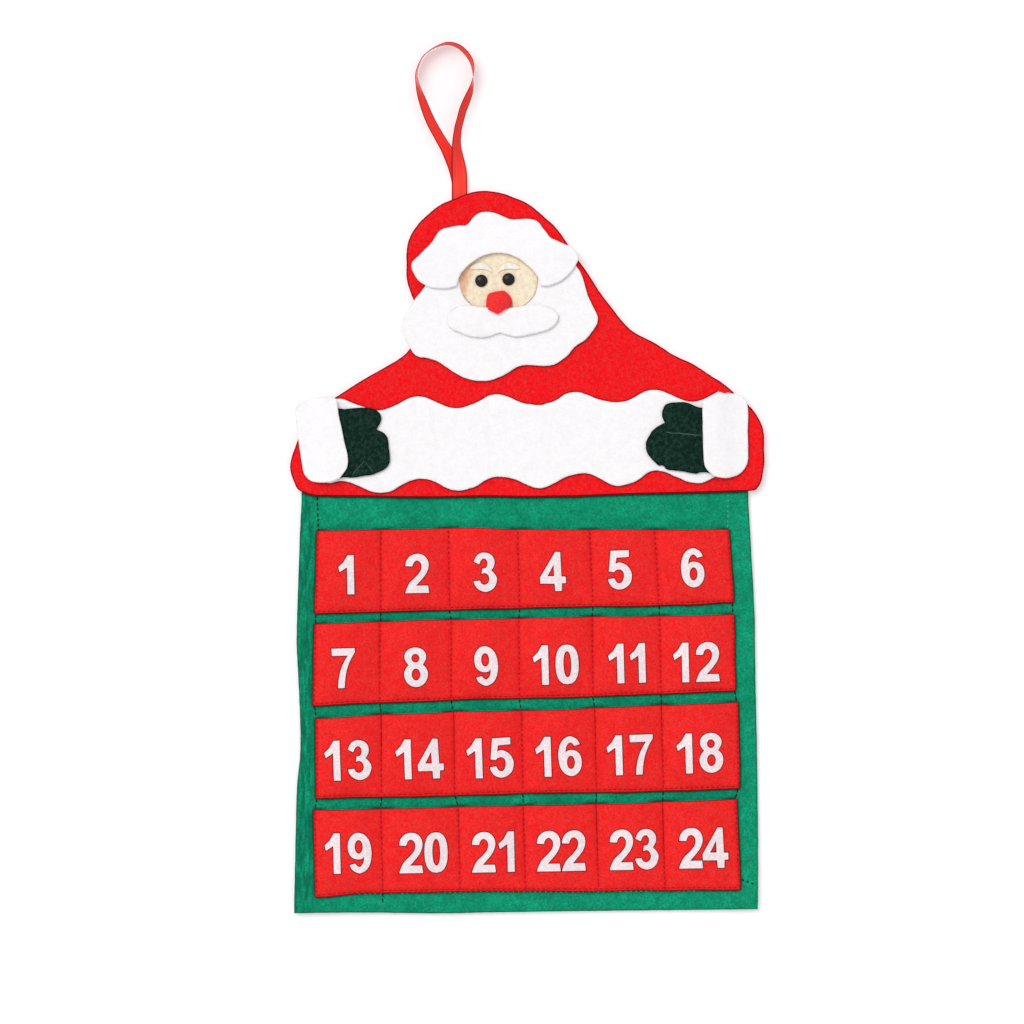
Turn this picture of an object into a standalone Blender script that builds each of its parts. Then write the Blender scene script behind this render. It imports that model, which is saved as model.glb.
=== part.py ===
# Felt advent calendar: a bearded winter figure leans over a sheet with four rows of six open pockets.
# The sheet hangs from a satin ribbon loop. All lengths are in metres, +Z is up and -Y is the front.
# The origin is the point where the loop rests on a nail, and the plane y = 0 is the wall.

import math

import bmesh
import bpy
from mathutils import Vector

for item in list(bpy.data.objects):
    bpy.data.objects.remove(item, do_unlink=True)


# Felt thicknesses and the clearance between two layers
BACKING_FELT = 0.0020
ROBE_FELT = 0.0020
WHITE_FELT = 0.0020
CUFF_FELT = 0.0020
TRIM_FELT = 0.0015
MITTEN_FELT = 0.0015
POCKET_FELT = 0.0015
FACE_FELT = 0.0010
BROW_FELT = 0.0006
LAYER_GAP = 0.0003

# Ribbon: one satin strip folded to a loop, its two plies lying on each other at the hat
RIBBON_WIDTH = 0.0100
RIBBON_PLY = 0.00025
PLY_GAP = 0.0003
LOOP_WIDTH = 0.0385
LOOP_LENGTH = 0.0963
TAIL_LENGTH = 0.0275
FOLD_GAP = 0.00085

# Pockets: rows of strips, each sewn at its ends, along its bottom and between the pockets
ROWS = 4
STRIP_WIDTH = 0.2770
STRIP_HEIGHT = 0.0550
ROW_GAP = 0.0053
POCKET_DEPTH = 0.0050
SIDE_SEAM = 0.0020
BOTTOM_SEAM = 0.0026

# Backing panel: the margins around the pocket rows, and what is tucked behind the robe
SIDE_MARGIN = 0.0125
TOP_MARGIN = 0.0203
BOTTOM_MARGIN = 0.0160
PANEL_TUCK = 0.0252

# Robe: hat, shoulders and arms in one cut piece that reaches a little past the panel
ROBE_OVERHANG = 0.0038
HAT_RISE = 0.0002
RIBBON_TO_CENTRE = 0.0437

# Head: places are taken from the middle of the face
FACE_RADIUS = 0.0238
FACE_DROP = 0.0586
FACE_SHIFT = 0.0185
BEARD_WIDTH = 0.1276
BEARD_HEIGHT = 0.0844
BEARD_DROP = 0.0238
BEARD_SHIFT = 0.0009
BRIM_WIDTH = 0.1096
BRIM_HEIGHT = 0.0506
BRIM_RISE = 0.0197
BRIM_SHIFT = 0.0024
BRIM_RAMP = 0.0090
ARCH_RADIUS = 0.0262
ARCH_DROP = 0.0085
MOUSTACHE_WIDTH = 0.0730
MOUSTACHE_HEIGHT = 0.0217
MOUSTACHE_DROP = 0.0269
MOUSTACHE_SHIFT = 0.0031
NOSE_WIDTH = 0.0167
NOSE_HEIGHT = 0.0152
NOSE_THICKNESS = 0.0060
NOSE_DROP = 0.0145
NOSE_SHIFT = 0.0008
EYE_RADIUS = 0.0042
EYE_HEIGHT = 0.0024
EYE_SPACING = 0.0178
EYES_SHIFT = 0.0021
EYE_STEP = 0.0005
BROW_WIDTH = 0.0147
BROW_HEIGHT = 0.0062
BROW_RISE = 0.0082

# Wavy band across the robe
BEARD_TO_TRIM = 0.0081
TRIM_HEIGHT = 0.0539
TRIM_INSET_LEFT = 0.0234
TRIM_INSET_RIGHT = 0.0280
WAVE_LENGTH = 0.0515
WAVE_HEIGHT = 0.0044
HEM_MARGIN = 0.0056
TRIM_TILT = math.radians(-1.6)
WAVE_PHASE_SHARE = 0.326

# Mittens and cuffs: places are taken from the ends of the band
LEFT_MITTEN_WIDTH = 0.0400
LEFT_MITTEN_HEIGHT = 0.0465
LEFT_MITTEN_INSET = 0.0026
LEFT_MITTEN_RISE = -0.0010
RIGHT_MITTEN_WIDTH = 0.0455
RIGHT_MITTEN_HEIGHT = 0.0478
RIGHT_MITTEN_INSET = 0.0043
RIGHT_MITTEN_RISE = 0.0023
CUFF_WIDTH = 0.0301
CUFF_HEIGHT = 0.0559
CUFF_RISE = 0.0016
CUFF_RAMP = 0.0070
CUFF_CLEARANCE = 0.0005
LEFT_CUFF_OUT = 0.0055
RIGHT_CUFF_OUT = 0.0076
LEFT_CUFF_TILT = math.radians(-10.0)

# One overrun for every cutter, and the distance under which cut points merge
OVERRUN = 0.0050
WELD = 0.0000001

# Fineness of the curves
OUTLINE_STEPS = 4
LOOP_STEPS = 3
POCKET_COLUMNS = 8
POCKET_RUNS = 6
ROUND_STEPS = 28
DOME_RINGS = 5
WAVE_STEPS = 14


# Outline points as shares of each piece's own width and height, from its lower left corner.
# Each run is a smooth curve, and two runs meet at a corner.
robe_shares = [[
    (0.040, 0.010), (0.084, 0.003), (0.232, 0.0), (0.507, 0.001), (0.727, 0.008), (0.968, 0.020),
    (0.985, 0.033), (0.995, 0.067), (1.0, 0.135), (0.998, 0.207), (0.987, 0.258), (0.970, 0.300),
    (0.928, 0.355), (0.864, 0.419), (0.754, 0.514), (0.699, 0.575), (0.644, 0.690), (0.608, 0.778),
    (0.575, 0.846), (0.544, 0.900), (0.488, 0.965), (0.448, 0.992), (0.407, 1.0), (0.374, 0.990),
    (0.343, 0.969), (0.302, 0.934), (0.274, 0.897), (0.255, 0.849), (0.247, 0.781), (0.249, 0.716),
    (0.262, 0.644), (0.272, 0.579), (0.266, 0.520), (0.253, 0.484), (0.232, 0.453), (0.177, 0.403),
    (0.122, 0.352), (0.067, 0.298), (0.033, 0.243), (0.014, 0.178), (0.0, 0.109), (0.004, 0.070),
    (0.016, 0.031),
]]
panel_shares = [
    [(0.017, 1.0), (0.016, 0.919), (0.009, 0.733), (0.005, 0.601), (0.011, 0.491), (0.014, 0.363),
     (0.005, 0.271), (0.001, 0.117), (0.0, 0.001)],
    [(0.0, 0.001), (0.118, 0.004), (0.313, 0.0), (0.443, 0.005), (0.768, 0.009), (0.998, 0.010)],
    [(0.998, 0.010), (1.0, 0.183), (0.997, 0.348), (0.993, 0.579), (0.984, 0.795), (0.978, 0.910),
     (0.978, 1.0)],
    [(0.978, 1.0), (0.017, 1.0)],
]
beard_shares = [[
    (0.144, 0.860), (0.121, 0.740), (0.062, 0.627), (0.010, 0.495), (0.0, 0.387), (0.040, 0.247),
    (0.080, 0.189), (0.128, 0.179), (0.190, 0.146), (0.257, 0.076), (0.323, 0.022), (0.390, 0.0),
    (0.457, 0.012), (0.524, 0.045), (0.590, 0.109), (0.657, 0.124), (0.724, 0.115), (0.791, 0.138),
    (0.857, 0.208), (0.924, 0.309), (0.975, 0.387), (1.0, 0.472), (0.989, 0.542), (0.950, 0.674),
    (0.929, 0.790), (0.898, 0.884), (0.842, 0.946), (0.749, 0.977), (0.503, 1.0), (0.257, 0.961),
]]
brim_shares = [
    [(0.289, 0.034), (0.235, 0.004), (0.163, 0.0), (0.097, 0.030), (0.038, 0.124), (0.0, 0.292),
     (0.011, 0.396), (0.054, 0.467), (0.103, 0.541), (0.139, 0.655), (0.184, 0.765), (0.247, 0.799),
     (0.325, 0.836), (0.360, 0.900), (0.402, 0.972), (0.450, 1.0), (0.504, 0.984), (0.588, 0.900),
     (0.665, 0.893), (0.737, 0.887), (0.785, 0.784), (0.839, 0.668), (0.904, 0.622), (0.958, 0.545),
     (0.994, 0.454), (1.0, 0.370), (0.958, 0.215), (0.892, 0.092), (0.809, 0.030), (0.755, 0.034)],
    [(0.755, 0.034), (0.289, 0.034)],
]
moustache_shares = [[
    (0.0, 0.592), (0.013, 0.335), (0.099, 0.169), (0.206, 0.039), (0.323, 0.0), (0.404, 0.069),
    (0.471, 0.139), (0.538, 0.079), (0.628, 0.024), (0.744, 0.094), (0.888, 0.215), (0.960, 0.366),
    (1.0, 0.622), (0.978, 0.789), (0.906, 0.924), (0.789, 1.0), (0.655, 0.940), (0.466, 0.864),
    (0.278, 0.940), (0.135, 0.970), (0.045, 0.849),
]]
nose_shares = [[
    (0.050, 0.784), (0.196, 0.914), (0.565, 1.0), (0.722, 0.974), (0.933, 0.728), (1.0, 0.407),
    (0.945, 0.290), (0.671, 0.147), (0.514, 0.017), (0.380, 0.0), (0.0, 0.233), (0.0, 0.463),
]]
brow_shares = [[
    (0.0, 0.420), (0.120, 0.700), (0.330, 0.960), (0.560, 1.0), (0.800, 0.700), (1.0, 0.0),
    (0.820, 0.180), (0.620, 0.330), (0.380, 0.340), (0.160, 0.300),
]]
left_mitten_shares = [
    [(0.0, 1.0), (0.246, 0.972), (0.485, 0.993), (0.705, 0.979), (0.828, 0.923), (0.869, 0.831),
     (0.800, 0.686)],
    [(0.800, 0.686), (0.918, 0.627), (0.992, 0.521), (1.0, 0.296), (0.934, 0.134), (0.754, 0.042),
     (0.492, 0.007), (0.0, 0.0)],
    [(0.0, 0.0), (0.0, 1.0)],
]
right_mitten_shares = [
    [(1.0, 0.925), (0.833, 0.938), (0.654, 0.975), (0.478, 1.0), (0.308, 0.973), (0.244, 0.897),
     (0.241, 0.808), (0.294, 0.704)],
    [(0.294, 0.704), (0.114, 0.630), (0.027, 0.521), (0.0, 0.384), (0.035, 0.274), (0.164, 0.126),
     (0.280, 0.071), (0.510, 0.010), (1.0, 0.0)],
    [(1.0, 0.0), (1.0, 0.925)],
]
cuff_shares = [[
    (0.0, 0.883), (0.031, 0.953), (0.161, 0.991), (0.423, 1.0), (0.706, 0.993), (0.880, 0.947),
    (0.963, 0.859), (0.989, 0.555), (1.0, 0.250), (0.946, 0.132), (0.793, 0.039), (0.532, 0.0),
    (0.292, 0.015), (0.129, 0.080), (0.031, 0.191), (0.009, 0.555),
]]

# Ribbon loop, from its left end up, over and down to its right end: across as a share of the loop's
# width, down as a share of its length, and the twist as a share of a quarter turn
loop_shares = [
    (0.224, 1.000, 0.00), (0.221, 0.929, 0.02), (0.158, 0.833, 0.22), (0.026, 0.724, 0.45),
    (-0.095, 0.643, 0.53), (-0.265, 0.520, 0.57), (-0.405, 0.384, 0.66), (-0.486, 0.282, 0.82),
    (-0.509, 0.201, 0.92), (-0.439, 0.119, 0.96), (-0.361, 0.071, 0.95), (-0.196, 0.022, 0.93),
    (0.014, -0.005, 0.88), (0.196, 0.014, 0.84), (0.332, 0.058, 0.83), (0.425, 0.112, 0.84),
    (0.457, 0.160, 0.91), (0.457, 0.201, 1.00), (0.447, 0.241, 1.08), (0.425, 0.282, 1.16),
    (0.388, 0.330, 1.24), (0.333, 0.384, 1.29), (0.281, 0.452, 1.30), (0.235, 0.520, 1.30),
    (0.196, 0.582, 1.31), (0.172, 0.670, 1.36), (0.179, 0.738, 1.47), (0.201, 0.820, 1.70),
    (0.219, 0.901, 1.95), (0.224, 1.000, 2.00),
]

# How far each strip's corners were cut off the square, as shares of the strip: across and up,
# for the top left, top right, bottom left and bottom right corner of each row
corner_shares = [
    [(0.001, -0.018), (-0.020, 0.0), (-0.002, -0.021), (-0.006, 0.115)],
    [(-0.003, -0.033), (-0.006, 0.086), (-0.006, -0.018), (-0.001, 0.157)],
    [(-0.001, -0.061), (0.001, 0.129), (0.0, -0.027), (0.007, 0.099)],
    [(-0.006, -0.054), (0.0, 0.074), (-0.002, -0.095), (0.007, -0.018)],
]
# Dividing seams of each row as shares of the strip's width
divider_shares = [
    [0.158, 0.321, 0.488, 0.663, 0.820],
    [0.158, 0.326, 0.487, 0.660, 0.821],
    [0.156, 0.328, 0.488, 0.661, 0.819],
    [0.160, 0.342, 0.496, 0.667, 0.823],
]


# Layers, as distances in front of the wall
pocket_back = BACKING_FELT + LAYER_GAP
robe_back = BACKING_FELT + LAYER_GAP
on_robe = robe_back + ROBE_FELT + LAYER_GAP
face_front = on_robe + FACE_FELT
on_face = face_front + LAYER_GAP
on_beard = on_robe + WHITE_FELT + LAYER_GAP
on_trim = on_robe + TRIM_FELT + LAYER_GAP
on_mitten = on_trim + MITTEN_FELT + LAYER_GAP

# Sizes that follow from the pockets, the head and the band
pocket_field = ROWS * STRIP_HEIGHT + (ROWS - 1) * ROW_GAP
panel_width = STRIP_WIDTH + 2 * SIDE_MARGIN
panel_height = PANEL_TUCK + TOP_MARGIN + pocket_field + BOTTOM_MARGIN
robe_width = panel_width + 2 * ROBE_OVERHANG
beard_bottom = FACE_DROP + BEARD_DROP + BEARD_HEIGHT / 2
band_height = TRIM_HEIGHT + 2 * WAVE_HEIGHT
robe_height = beard_bottom + BEARD_TO_TRIM + band_height + HEM_MARGIN

# Places measured from the fold of the ribbon
ribbon_stack = 2 * RIBBON_PLY + PLY_GAP
fold_depth = robe_back - LAYER_GAP - ribbon_stack / 2
fold_point = Vector((LOOP_WIDTH * loop_shares[0][0], -fold_depth, -LOOP_LENGTH))
centre_x = fold_point.x + RIBBON_TO_CENTRE
hat_top = fold_point.z - HAT_RISE
hem = hat_top - robe_height
face_x = centre_x - FACE_SHIFT
face_z = hat_top - FACE_DROP
trim_left = centre_x - robe_width / 2 + TRIM_INSET_LEFT
trim_right = centre_x + robe_width / 2 - TRIM_INSET_RIGHT
trim_z = hem + HEM_MARGIN + band_height / 2


def linear(value):
    share = value / 255
    return share / 12.92 if share <= 0.04045 else ((share + 0.055) / 1.055) ** 2.4


def material(name, colour, roughness, metallic=0.0):
    made = bpy.data.materials.new(name)
    made.use_nodes = True
    shader = made.node_tree.nodes["Principled BSDF"]
    shader.inputs["Base Color"].default_value = (*[linear(part) for part in colour], 1.0)
    shader.inputs["Roughness"].default_value = roughness
    shader.inputs["Metallic"].default_value = metallic
    return made


def add_object(name, bm, surface, parent=None, smooth=False):
    bmesh.ops.recalc_face_normals(bm, faces=bm.faces)
    mesh = bpy.data.meshes.new(name)
    bm.to_mesh(mesh)
    bm.free()
    if smooth:
        mesh.shade_smooth()
        mesh.set_sharp_from_angle(angle=math.radians(40))
    made = bpy.data.objects.new(name, mesh)
    bpy.context.scene.collection.objects.link(made)
    if surface:
        mesh.materials.append(surface)
    made.parent = parent
    return made


def put(made, x, depth, z):
    # Place from the origin, kept under the parent that stands at the fold
    offset = fold_point if made.parent else Vector((0, 0, 0))
    made.location = Vector((x, -depth, z)) - offset
    return made


def between(before, start, end, after, t):
    # Catmull-Rom value at the share t of the way from start to end
    return 0.5 * (2 * start + (end - before) * t + (2 * before - 5 * start + 4 * end - after) * t ** 2
                  + (3 * start - before - 3 * end + after) * t ** 3)


def smooth_run(points, steps, closed):
    count = len(points)
    spans = count if closed else count - 1
    found = []
    for i in range(spans):
        if closed:
            four = [points[(i + k) % count] for k in (-1, 0, 1, 2)]
        else:
            four = [points[min(max(i + k, 0), count - 1)] for k in (-1, 0, 1, 2)]
        for step in range(steps):
            found.append(tuple(between(*values, step / steps) for values in zip(*four)))
    return found


def outline(runs, width, height):
    found = []
    for run in runs:
        points = [((u - 0.5) * width, (v - 0.5) * height) for u, v in run]
        if len(points) == 2:
            found.append(points[0])
        else:
            found.extend(smooth_run(points, OUTLINE_STEPS, len(runs) == 1))
    return found


def mirrored(runs):
    return [[(1 - u, v) for u, v in run] for run in runs]


def turned(points, angle):
    cosine = math.cos(angle)
    sine = math.sin(angle)
    return [(x * cosine + z * sine, z * cosine - x * sine) for x, z in points]


def thicken(bm, thickness):
    raised = bmesh.ops.extrude_face_region(bm, geom=bm.faces[:])
    moved = [part for part in raised["geom"] if isinstance(part, bmesh.types.BMVert)]
    bmesh.ops.translate(bm, vec=(0, -thickness, 0), verts=moved)


def felt_sheet(name, points, thickness, surface, bends=(), lift=None):
    # A flat cut-out; bends are the lines, as (axis, place), where lift changes its slope
    bm = bmesh.new()
    bm.faces.new([bm.verts.new((x, 0, z)) for x, z in points])
    for axis, place in bends:
        parts = bm.verts[:] + bm.edges[:] + bm.faces[:]
        bmesh.ops.bisect_plane(bm, geom=parts, dist=WELD, plane_co=axis * place, plane_no=axis)
    if lift:
        for vert in bm.verts:
            vert.co.y = -lift(vert.co)
    thicken(bm, thickness)
    return add_object(name, bm, surface, fold)


def ramp(value, start, length):
    return min(max((value - start) / length, 0.0), 1.0)


def round_cutter(name, radius, depth, x, z):
    # A round bar along Y through every layer, kept out of the model
    bm = bmesh.new()
    bmesh.ops.create_cone(bm, cap_ends=True, segments=2 * ROUND_STEPS, radius1=radius, radius2=radius,
                          depth=depth)
    cutter = add_object(name, bm, None, fold)
    cutter.rotation_euler.x = math.radians(90)
    return hide_cutter(put(cutter, x, 0, z))


def hide_cutter(cutter):
    cutter.hide_render = True
    cutter.display_type = "WIRE"
    return cutter


def cut(made, cutter):
    boolean = made.modifiers.new("opening", "BOOLEAN")
    boolean.operation = "DIFFERENCE"
    boolean.solver = "EXACT"
    boolean.object = cutter


# Colours
red_felt = material("red_felt", (232, 26, 33), 0.95)
pocket_red = material("pocket_red", (222, 34, 34), 0.95)
green_felt = material("green_felt", (14, 132, 96), 0.95)
dark_green_felt = material("dark_green_felt", (20, 48, 40), 0.95)
white_felt = material("white_felt", (250, 248, 248), 0.95)
skin_cloth = material("skin_cloth", (246, 224, 194), 0.85)
nose_red = material("nose_red", (240, 50, 42), 0.85)
black_bead = material("black_bead", (12, 11, 13), 0.25)
red_satin = material("red_satin", (226, 50, 44), 0.38)

# The ribbon folds here: what hangs below is parented to this point
fold = bpy.data.objects.new("loop_fold", None)
bpy.context.scene.collection.objects.link(fold)
fold.location = fold_point


# Ribbon loop
def loop_stations():
    # Place, width direction and normal of the ribbon at each step of its route
    route = smooth_run(loop_shares, LOOP_STEPS, False) + [loop_shares[-1]]
    flat = [Vector((LOOP_WIDTH * across, 0, -LOOP_LENGTH * down)) for across, down, _ in route]
    stations = []
    last = len(route) - 1
    for i, (across, down, twist) in enumerate(route):
        if i in (0, last):
            along = Vector((0, 0, 1 if i == 0 else -1))
        else:
            along = (flat[i + 1] - flat[i - 1]).normalized()
        beside = Vector((along.z, 0, -along.x))
        angle = twist * math.radians(90)
        turn = math.sin(angle) if 0 < i < last else 0.0
        side = -1 if i > last / 2 else 1
        ply = fold_depth - side * (ribbon_stack - RIBBON_PLY) / 2
        depth = ply * (1 - turn) + (RIBBON_WIDTH / 2 + PLY_GAP) * turn
        across_ribbon = beside * math.cos(angle) + Vector((0, turn, 0))
        stations.append((flat[i] - Vector((0, depth, 0)), across_ribbon.normalized(), along))
    return stations


def ribbon_loop():
    bm = bmesh.new()
    rings = []
    for place, across, along in loop_stations():
        normal = along.cross(across).normalized()
        half_width = across * RIBBON_WIDTH / 2
        half_ply = normal * RIBBON_PLY / 2
        corners = [half_width + half_ply, half_ply - half_width, -half_width - half_ply,
                   half_width - half_ply]
        rings.append([bm.verts.new(place + corner) for corner in corners])
    for lower, upper in zip(rings, rings[1:]):
        for k in range(4):
            bm.faces.new((lower[k], lower[k - 1], upper[k - 1], upper[k]))
    bm.faces.new(rings[0])
    bm.faces.new(rings[-1][::-1])
    return add_object("ribbon_loop", bm, red_satin, smooth=True)


ribbon_loop()

# Ribbon ends: the two plies sewn together behind the hat
tail = bmesh.new()
bmesh.ops.create_cube(tail, size=1.0)
bmesh.ops.scale(tail, vec=(RIBBON_WIDTH, ribbon_stack, TAIL_LENGTH), verts=tail.verts)
put(add_object("ribbon_tails", tail, red_satin, fold), fold_point.x, fold_depth,
    fold_point.z - FOLD_GAP - TAIL_LENGTH / 2)

# Backing panel
panel = felt_sheet("backing_panel", outline(panel_shares, panel_width, panel_height), BACKING_FELT,
                   green_felt)
put(panel, centre_x, 0, hem + PANEL_TUCK - panel_height / 2)


# Pocket strips
def strip_columns(dividers):
    # Places across the strip, each with its share of the pocket's bulge
    seam = SIDE_SEAM / STRIP_WIDTH
    edges = [seam, *dividers, 1 - seam]
    columns = [(0.0, 0.0)]
    for left, right in zip(edges, edges[1:]):
        for k in range(POCKET_COLUMNS):
            part = k / POCKET_COLUMNS
            columns.append((left + (right - left) * part, math.sin(math.pi * part)))
    return columns + [(edges[-1], 0.0), (1.0, 0.0)]


def strip_rows():
    # Places down the strip: a pocket is widest at its mouth and flat at the bottom seam
    seam = BOTTOM_SEAM / STRIP_HEIGHT
    rows = [(1 - (1 - seam) * k / POCKET_RUNS, 1 - (k / POCKET_RUNS) ** 3) for k in range(POCKET_RUNS + 1)]
    return rows + [(0.0, 0.0)]


def pocket_strip(row):
    top_left, top_right, low_left, low_right = corner_shares[row]
    bm = bmesh.new()
    grid = []
    for v, open_share in strip_rows():
        line = []
        for u, bulge_share in strip_columns(divider_shares[row]):
            weights = ((1 - u) * v, u * v, (1 - u) * (1 - v), u * (1 - v))
            corners = (top_left, top_right, low_left, low_right)
            shift_x = sum(weight * corner[0] for weight, corner in zip(weights, corners))
            shift_z = sum(weight * corner[1] for weight, corner in zip(weights, corners))
            line.append(bm.verts.new((
                (u - 0.5 + shift_x) * STRIP_WIDTH,
                -POCKET_DEPTH * bulge_share * open_share,
                (v - 0.5 + shift_z) * STRIP_HEIGHT)))
        grid.append(line)
    for upper, lower in zip(grid, grid[1:]):
        for k in range(len(upper) - 1):
            bm.faces.new((upper[k], upper[k + 1], lower[k + 1], lower[k]))
    thicken(bm, POCKET_FELT)
    made = add_object(f"pocket_strip_{row + 1}", bm, pocket_red, fold, smooth=True)
    first = hem - TOP_MARGIN - STRIP_HEIGHT / 2
    return put(made, centre_x, pocket_back, first - row * (STRIP_HEIGHT + ROW_GAP))


for index in range(ROWS):
    pocket_strip(index)

# Robe with its hat
robe = felt_sheet("robe", outline(robe_shares, robe_width, robe_height), ROBE_FELT, red_felt)
put(robe, centre_x, robe_back, hat_top - robe_height / 2)

# Face: a disc set into the scoop of the beard
face = bmesh.new()
bmesh.ops.create_cone(face, cap_ends=True, segments=2 * ROUND_STEPS, radius1=FACE_RADIUS,
                      radius2=FACE_RADIUS, depth=FACE_FELT)
bmesh.ops.rotate(face, verts=face.verts, matrix=Vector((0, -1, 0)).to_track_quat("Z", "Y").to_matrix())
put(add_object("face", face, skin_cloth, fold, smooth=True), face_x, on_robe + FACE_FELT / 2, face_z)

# Beard
beard = felt_sheet("beard", outline(beard_shares, BEARD_WIDTH, BEARD_HEIGHT), WHITE_FELT, white_felt)
put(beard, face_x + BEARD_SHIFT, on_robe, face_z - BEARD_DROP)
bar_length = 2 * (on_mitten + CUFF_FELT + OVERRUN)
cut(beard, round_cutter("beard_scoop", FACE_RADIUS + LAYER_GAP, bar_length, face_x, face_z))

# Hat brim: it rides over the face and the beard, and its top rests on the hat
brim_z = face_z + BRIM_RISE
covered_top = max(face_z + FACE_RADIUS, face_z - BEARD_DROP + BEARD_HEIGHT / 2) + LAYER_GAP
ramp_start = covered_top - brim_z
brim = felt_sheet(
    "hat_brim", outline(brim_shares, BRIM_WIDTH, BRIM_HEIGHT), WHITE_FELT, white_felt,
    [(Vector((0, 0, 1)), ramp_start), (Vector((0, 0, 1)), ramp_start + BRIM_RAMP)],
    lambda point: (on_robe - on_beard) * ramp(point.z, ramp_start, BRIM_RAMP))
put(brim, face_x - BRIM_SHIFT, on_beard, brim_z)
cut(brim, round_cutter("brim_arch", ARCH_RADIUS, bar_length, face_x, face_z - ARCH_DROP))

# Moustache
moustache = felt_sheet("moustache", outline(moustache_shares, MOUSTACHE_WIDTH, MOUSTACHE_HEIGHT),
                       WHITE_FELT, white_felt)
moustache_z = face_z - MOUSTACHE_DROP
put(moustache, face_x + MOUSTACHE_SHIFT, on_beard, moustache_z)


# Padded shapes, closed at the front: flat at the back, rounded over towards the front
def dome(name, points, thickness, surface):
    bm = bmesh.new()
    rings = []
    for k in range(DOME_RINGS):
        angle = k / DOME_RINGS * math.radians(90)
        rings.append([bm.verts.new((x * math.cos(angle), -thickness * math.sin(angle), z * math.cos(angle)))
                      for x, z in points])
    bm.faces.new(rings[0])
    for lower, upper in zip(rings, rings[1:]):
        for k in range(len(points)):
            bm.faces.new((lower[k - 1], lower[k], upper[k], upper[k - 1]))
    tip = bm.verts.new((0, -thickness, 0))
    for k in range(len(points)):
        bm.faces.new((rings[-1][k - 1], rings[-1][k], tip))
    return add_object(name, bm, surface, fold, smooth=True)


# Nose: its upper half sits on the face and its lower half on the moustache
nose = dome("nose", outline(nose_shares, NOSE_WIDTH, NOSE_HEIGHT), NOSE_THICKNESS, nose_red)
put(nose, face_x + NOSE_SHIFT, on_face, face_z - NOSE_DROP)
seat_height = NOSE_HEIGHT + MOUSTACHE_HEIGHT
seat = bmesh.new()
bmesh.ops.create_cube(seat, size=1.0)
bmesh.ops.scale(seat, vec=(NOSE_WIDTH + OVERRUN, bar_length, seat_height), verts=seat.verts)
nose_seat = hide_cutter(add_object("nose_seat", seat, None, fold))
seat_front = on_beard + WHITE_FELT + LAYER_GAP
put(nose_seat, face_x + NOSE_SHIFT, seat_front - bar_length / 2,
    moustache_z + MOUSTACHE_HEIGHT / 2 + LAYER_GAP - seat_height / 2)
cut(nose, nose_seat)

# Eyes and eyebrows
eye_ring = [(EYE_RADIUS * math.cos(k / ROUND_STEPS * math.tau), EYE_RADIUS * math.sin(k / ROUND_STEPS * math.tau))
            for k in range(ROUND_STEPS)]
for side, word in ((-1, "left"), (1, "right")):
    eye_x = face_x - EYES_SHIFT + side * EYE_SPACING / 2
    eye_z = face_z + side * EYE_STEP
    put(dome(f"eye_{word}", eye_ring, EYE_HEIGHT, black_bead), eye_x, on_face, eye_z)
    shares = brow_shares if side < 0 else mirrored(brow_shares)
    brow = felt_sheet(f"eyebrow_{word}", outline(shares, BROW_WIDTH, BROW_HEIGHT), BROW_FELT, white_felt)
    put(brow, eye_x, on_face, face_z + BROW_RISE)

# Wavy band
trim_width = trim_right - trim_left
waves = math.ceil(trim_width / WAVE_LENGTH * WAVE_STEPS)


def wave(x):
    return WAVE_HEIGHT * math.cos(math.tau * (x / WAVE_LENGTH + WAVE_PHASE_SHARE))


across = [trim_width * (k / waves - 0.5) for k in range(waves + 1)]
band = [(x, wave(x) - TRIM_HEIGHT / 2) for x in across]
band += [(x, wave(x) + TRIM_HEIGHT / 2) for x in reversed(across)]
trim = felt_sheet("robe_trim", band, TRIM_FELT, white_felt)
trim.rotation_euler.y = TRIM_TILT
put(trim, (trim_left + trim_right) / 2, on_robe, trim_z)

# Mittens on the ends of the band, and the cuffs over the mittens' wrists
hands = [
    (-1, "left", left_mitten_shares, LEFT_MITTEN_WIDTH, LEFT_MITTEN_HEIGHT, trim_left,
     LEFT_MITTEN_INSET, LEFT_MITTEN_RISE, LEFT_CUFF_OUT, mirrored(cuff_shares), LEFT_CUFF_TILT),
    (1, "right", right_mitten_shares, RIGHT_MITTEN_WIDTH, RIGHT_MITTEN_HEIGHT, trim_right,
     RIGHT_MITTEN_INSET, RIGHT_MITTEN_RISE, RIGHT_CUFF_OUT, cuff_shares, 0.0),
]
for side, word, shares, width, height, end, inset, rise, out, cuff_runs, tilt in hands:
    wrist = end - side * inset
    mitten_z = trim_z + rise
    mitten = felt_sheet(f"mitten_{word}", outline(shares, width, height), MITTEN_FELT, dark_green_felt)
    put(mitten, wrist - side * width / 2, on_trim, mitten_z)

    cuff_x = wrist + side * out
    covered = max(side * end, side * wrist) + CUFF_CLEARANCE + abs(math.sin(TRIM_TILT)) * TRIM_HEIGHT / 2
    bend = covered - side * cuff_x
    step = on_mitten - on_robe
    across_body = Vector((side, 0, 0))
    points = turned(outline(cuff_runs, CUFF_WIDTH, CUFF_HEIGHT), tilt)
    cuff = felt_sheet(
        f"cuff_{word}", points, CUFF_FELT, white_felt,
        [(across_body, bend), (across_body, bend + CUFF_RAMP)],
        lambda point: -step * ramp(side * point.x, bend, CUFF_RAMP))
    put(cuff, cuff_x, on_mitten, mitten_z + CUFF_RISE)
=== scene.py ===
import math
import random

import bmesh
import bpy
from mathutils import Matrix, Vector, noise


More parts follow.
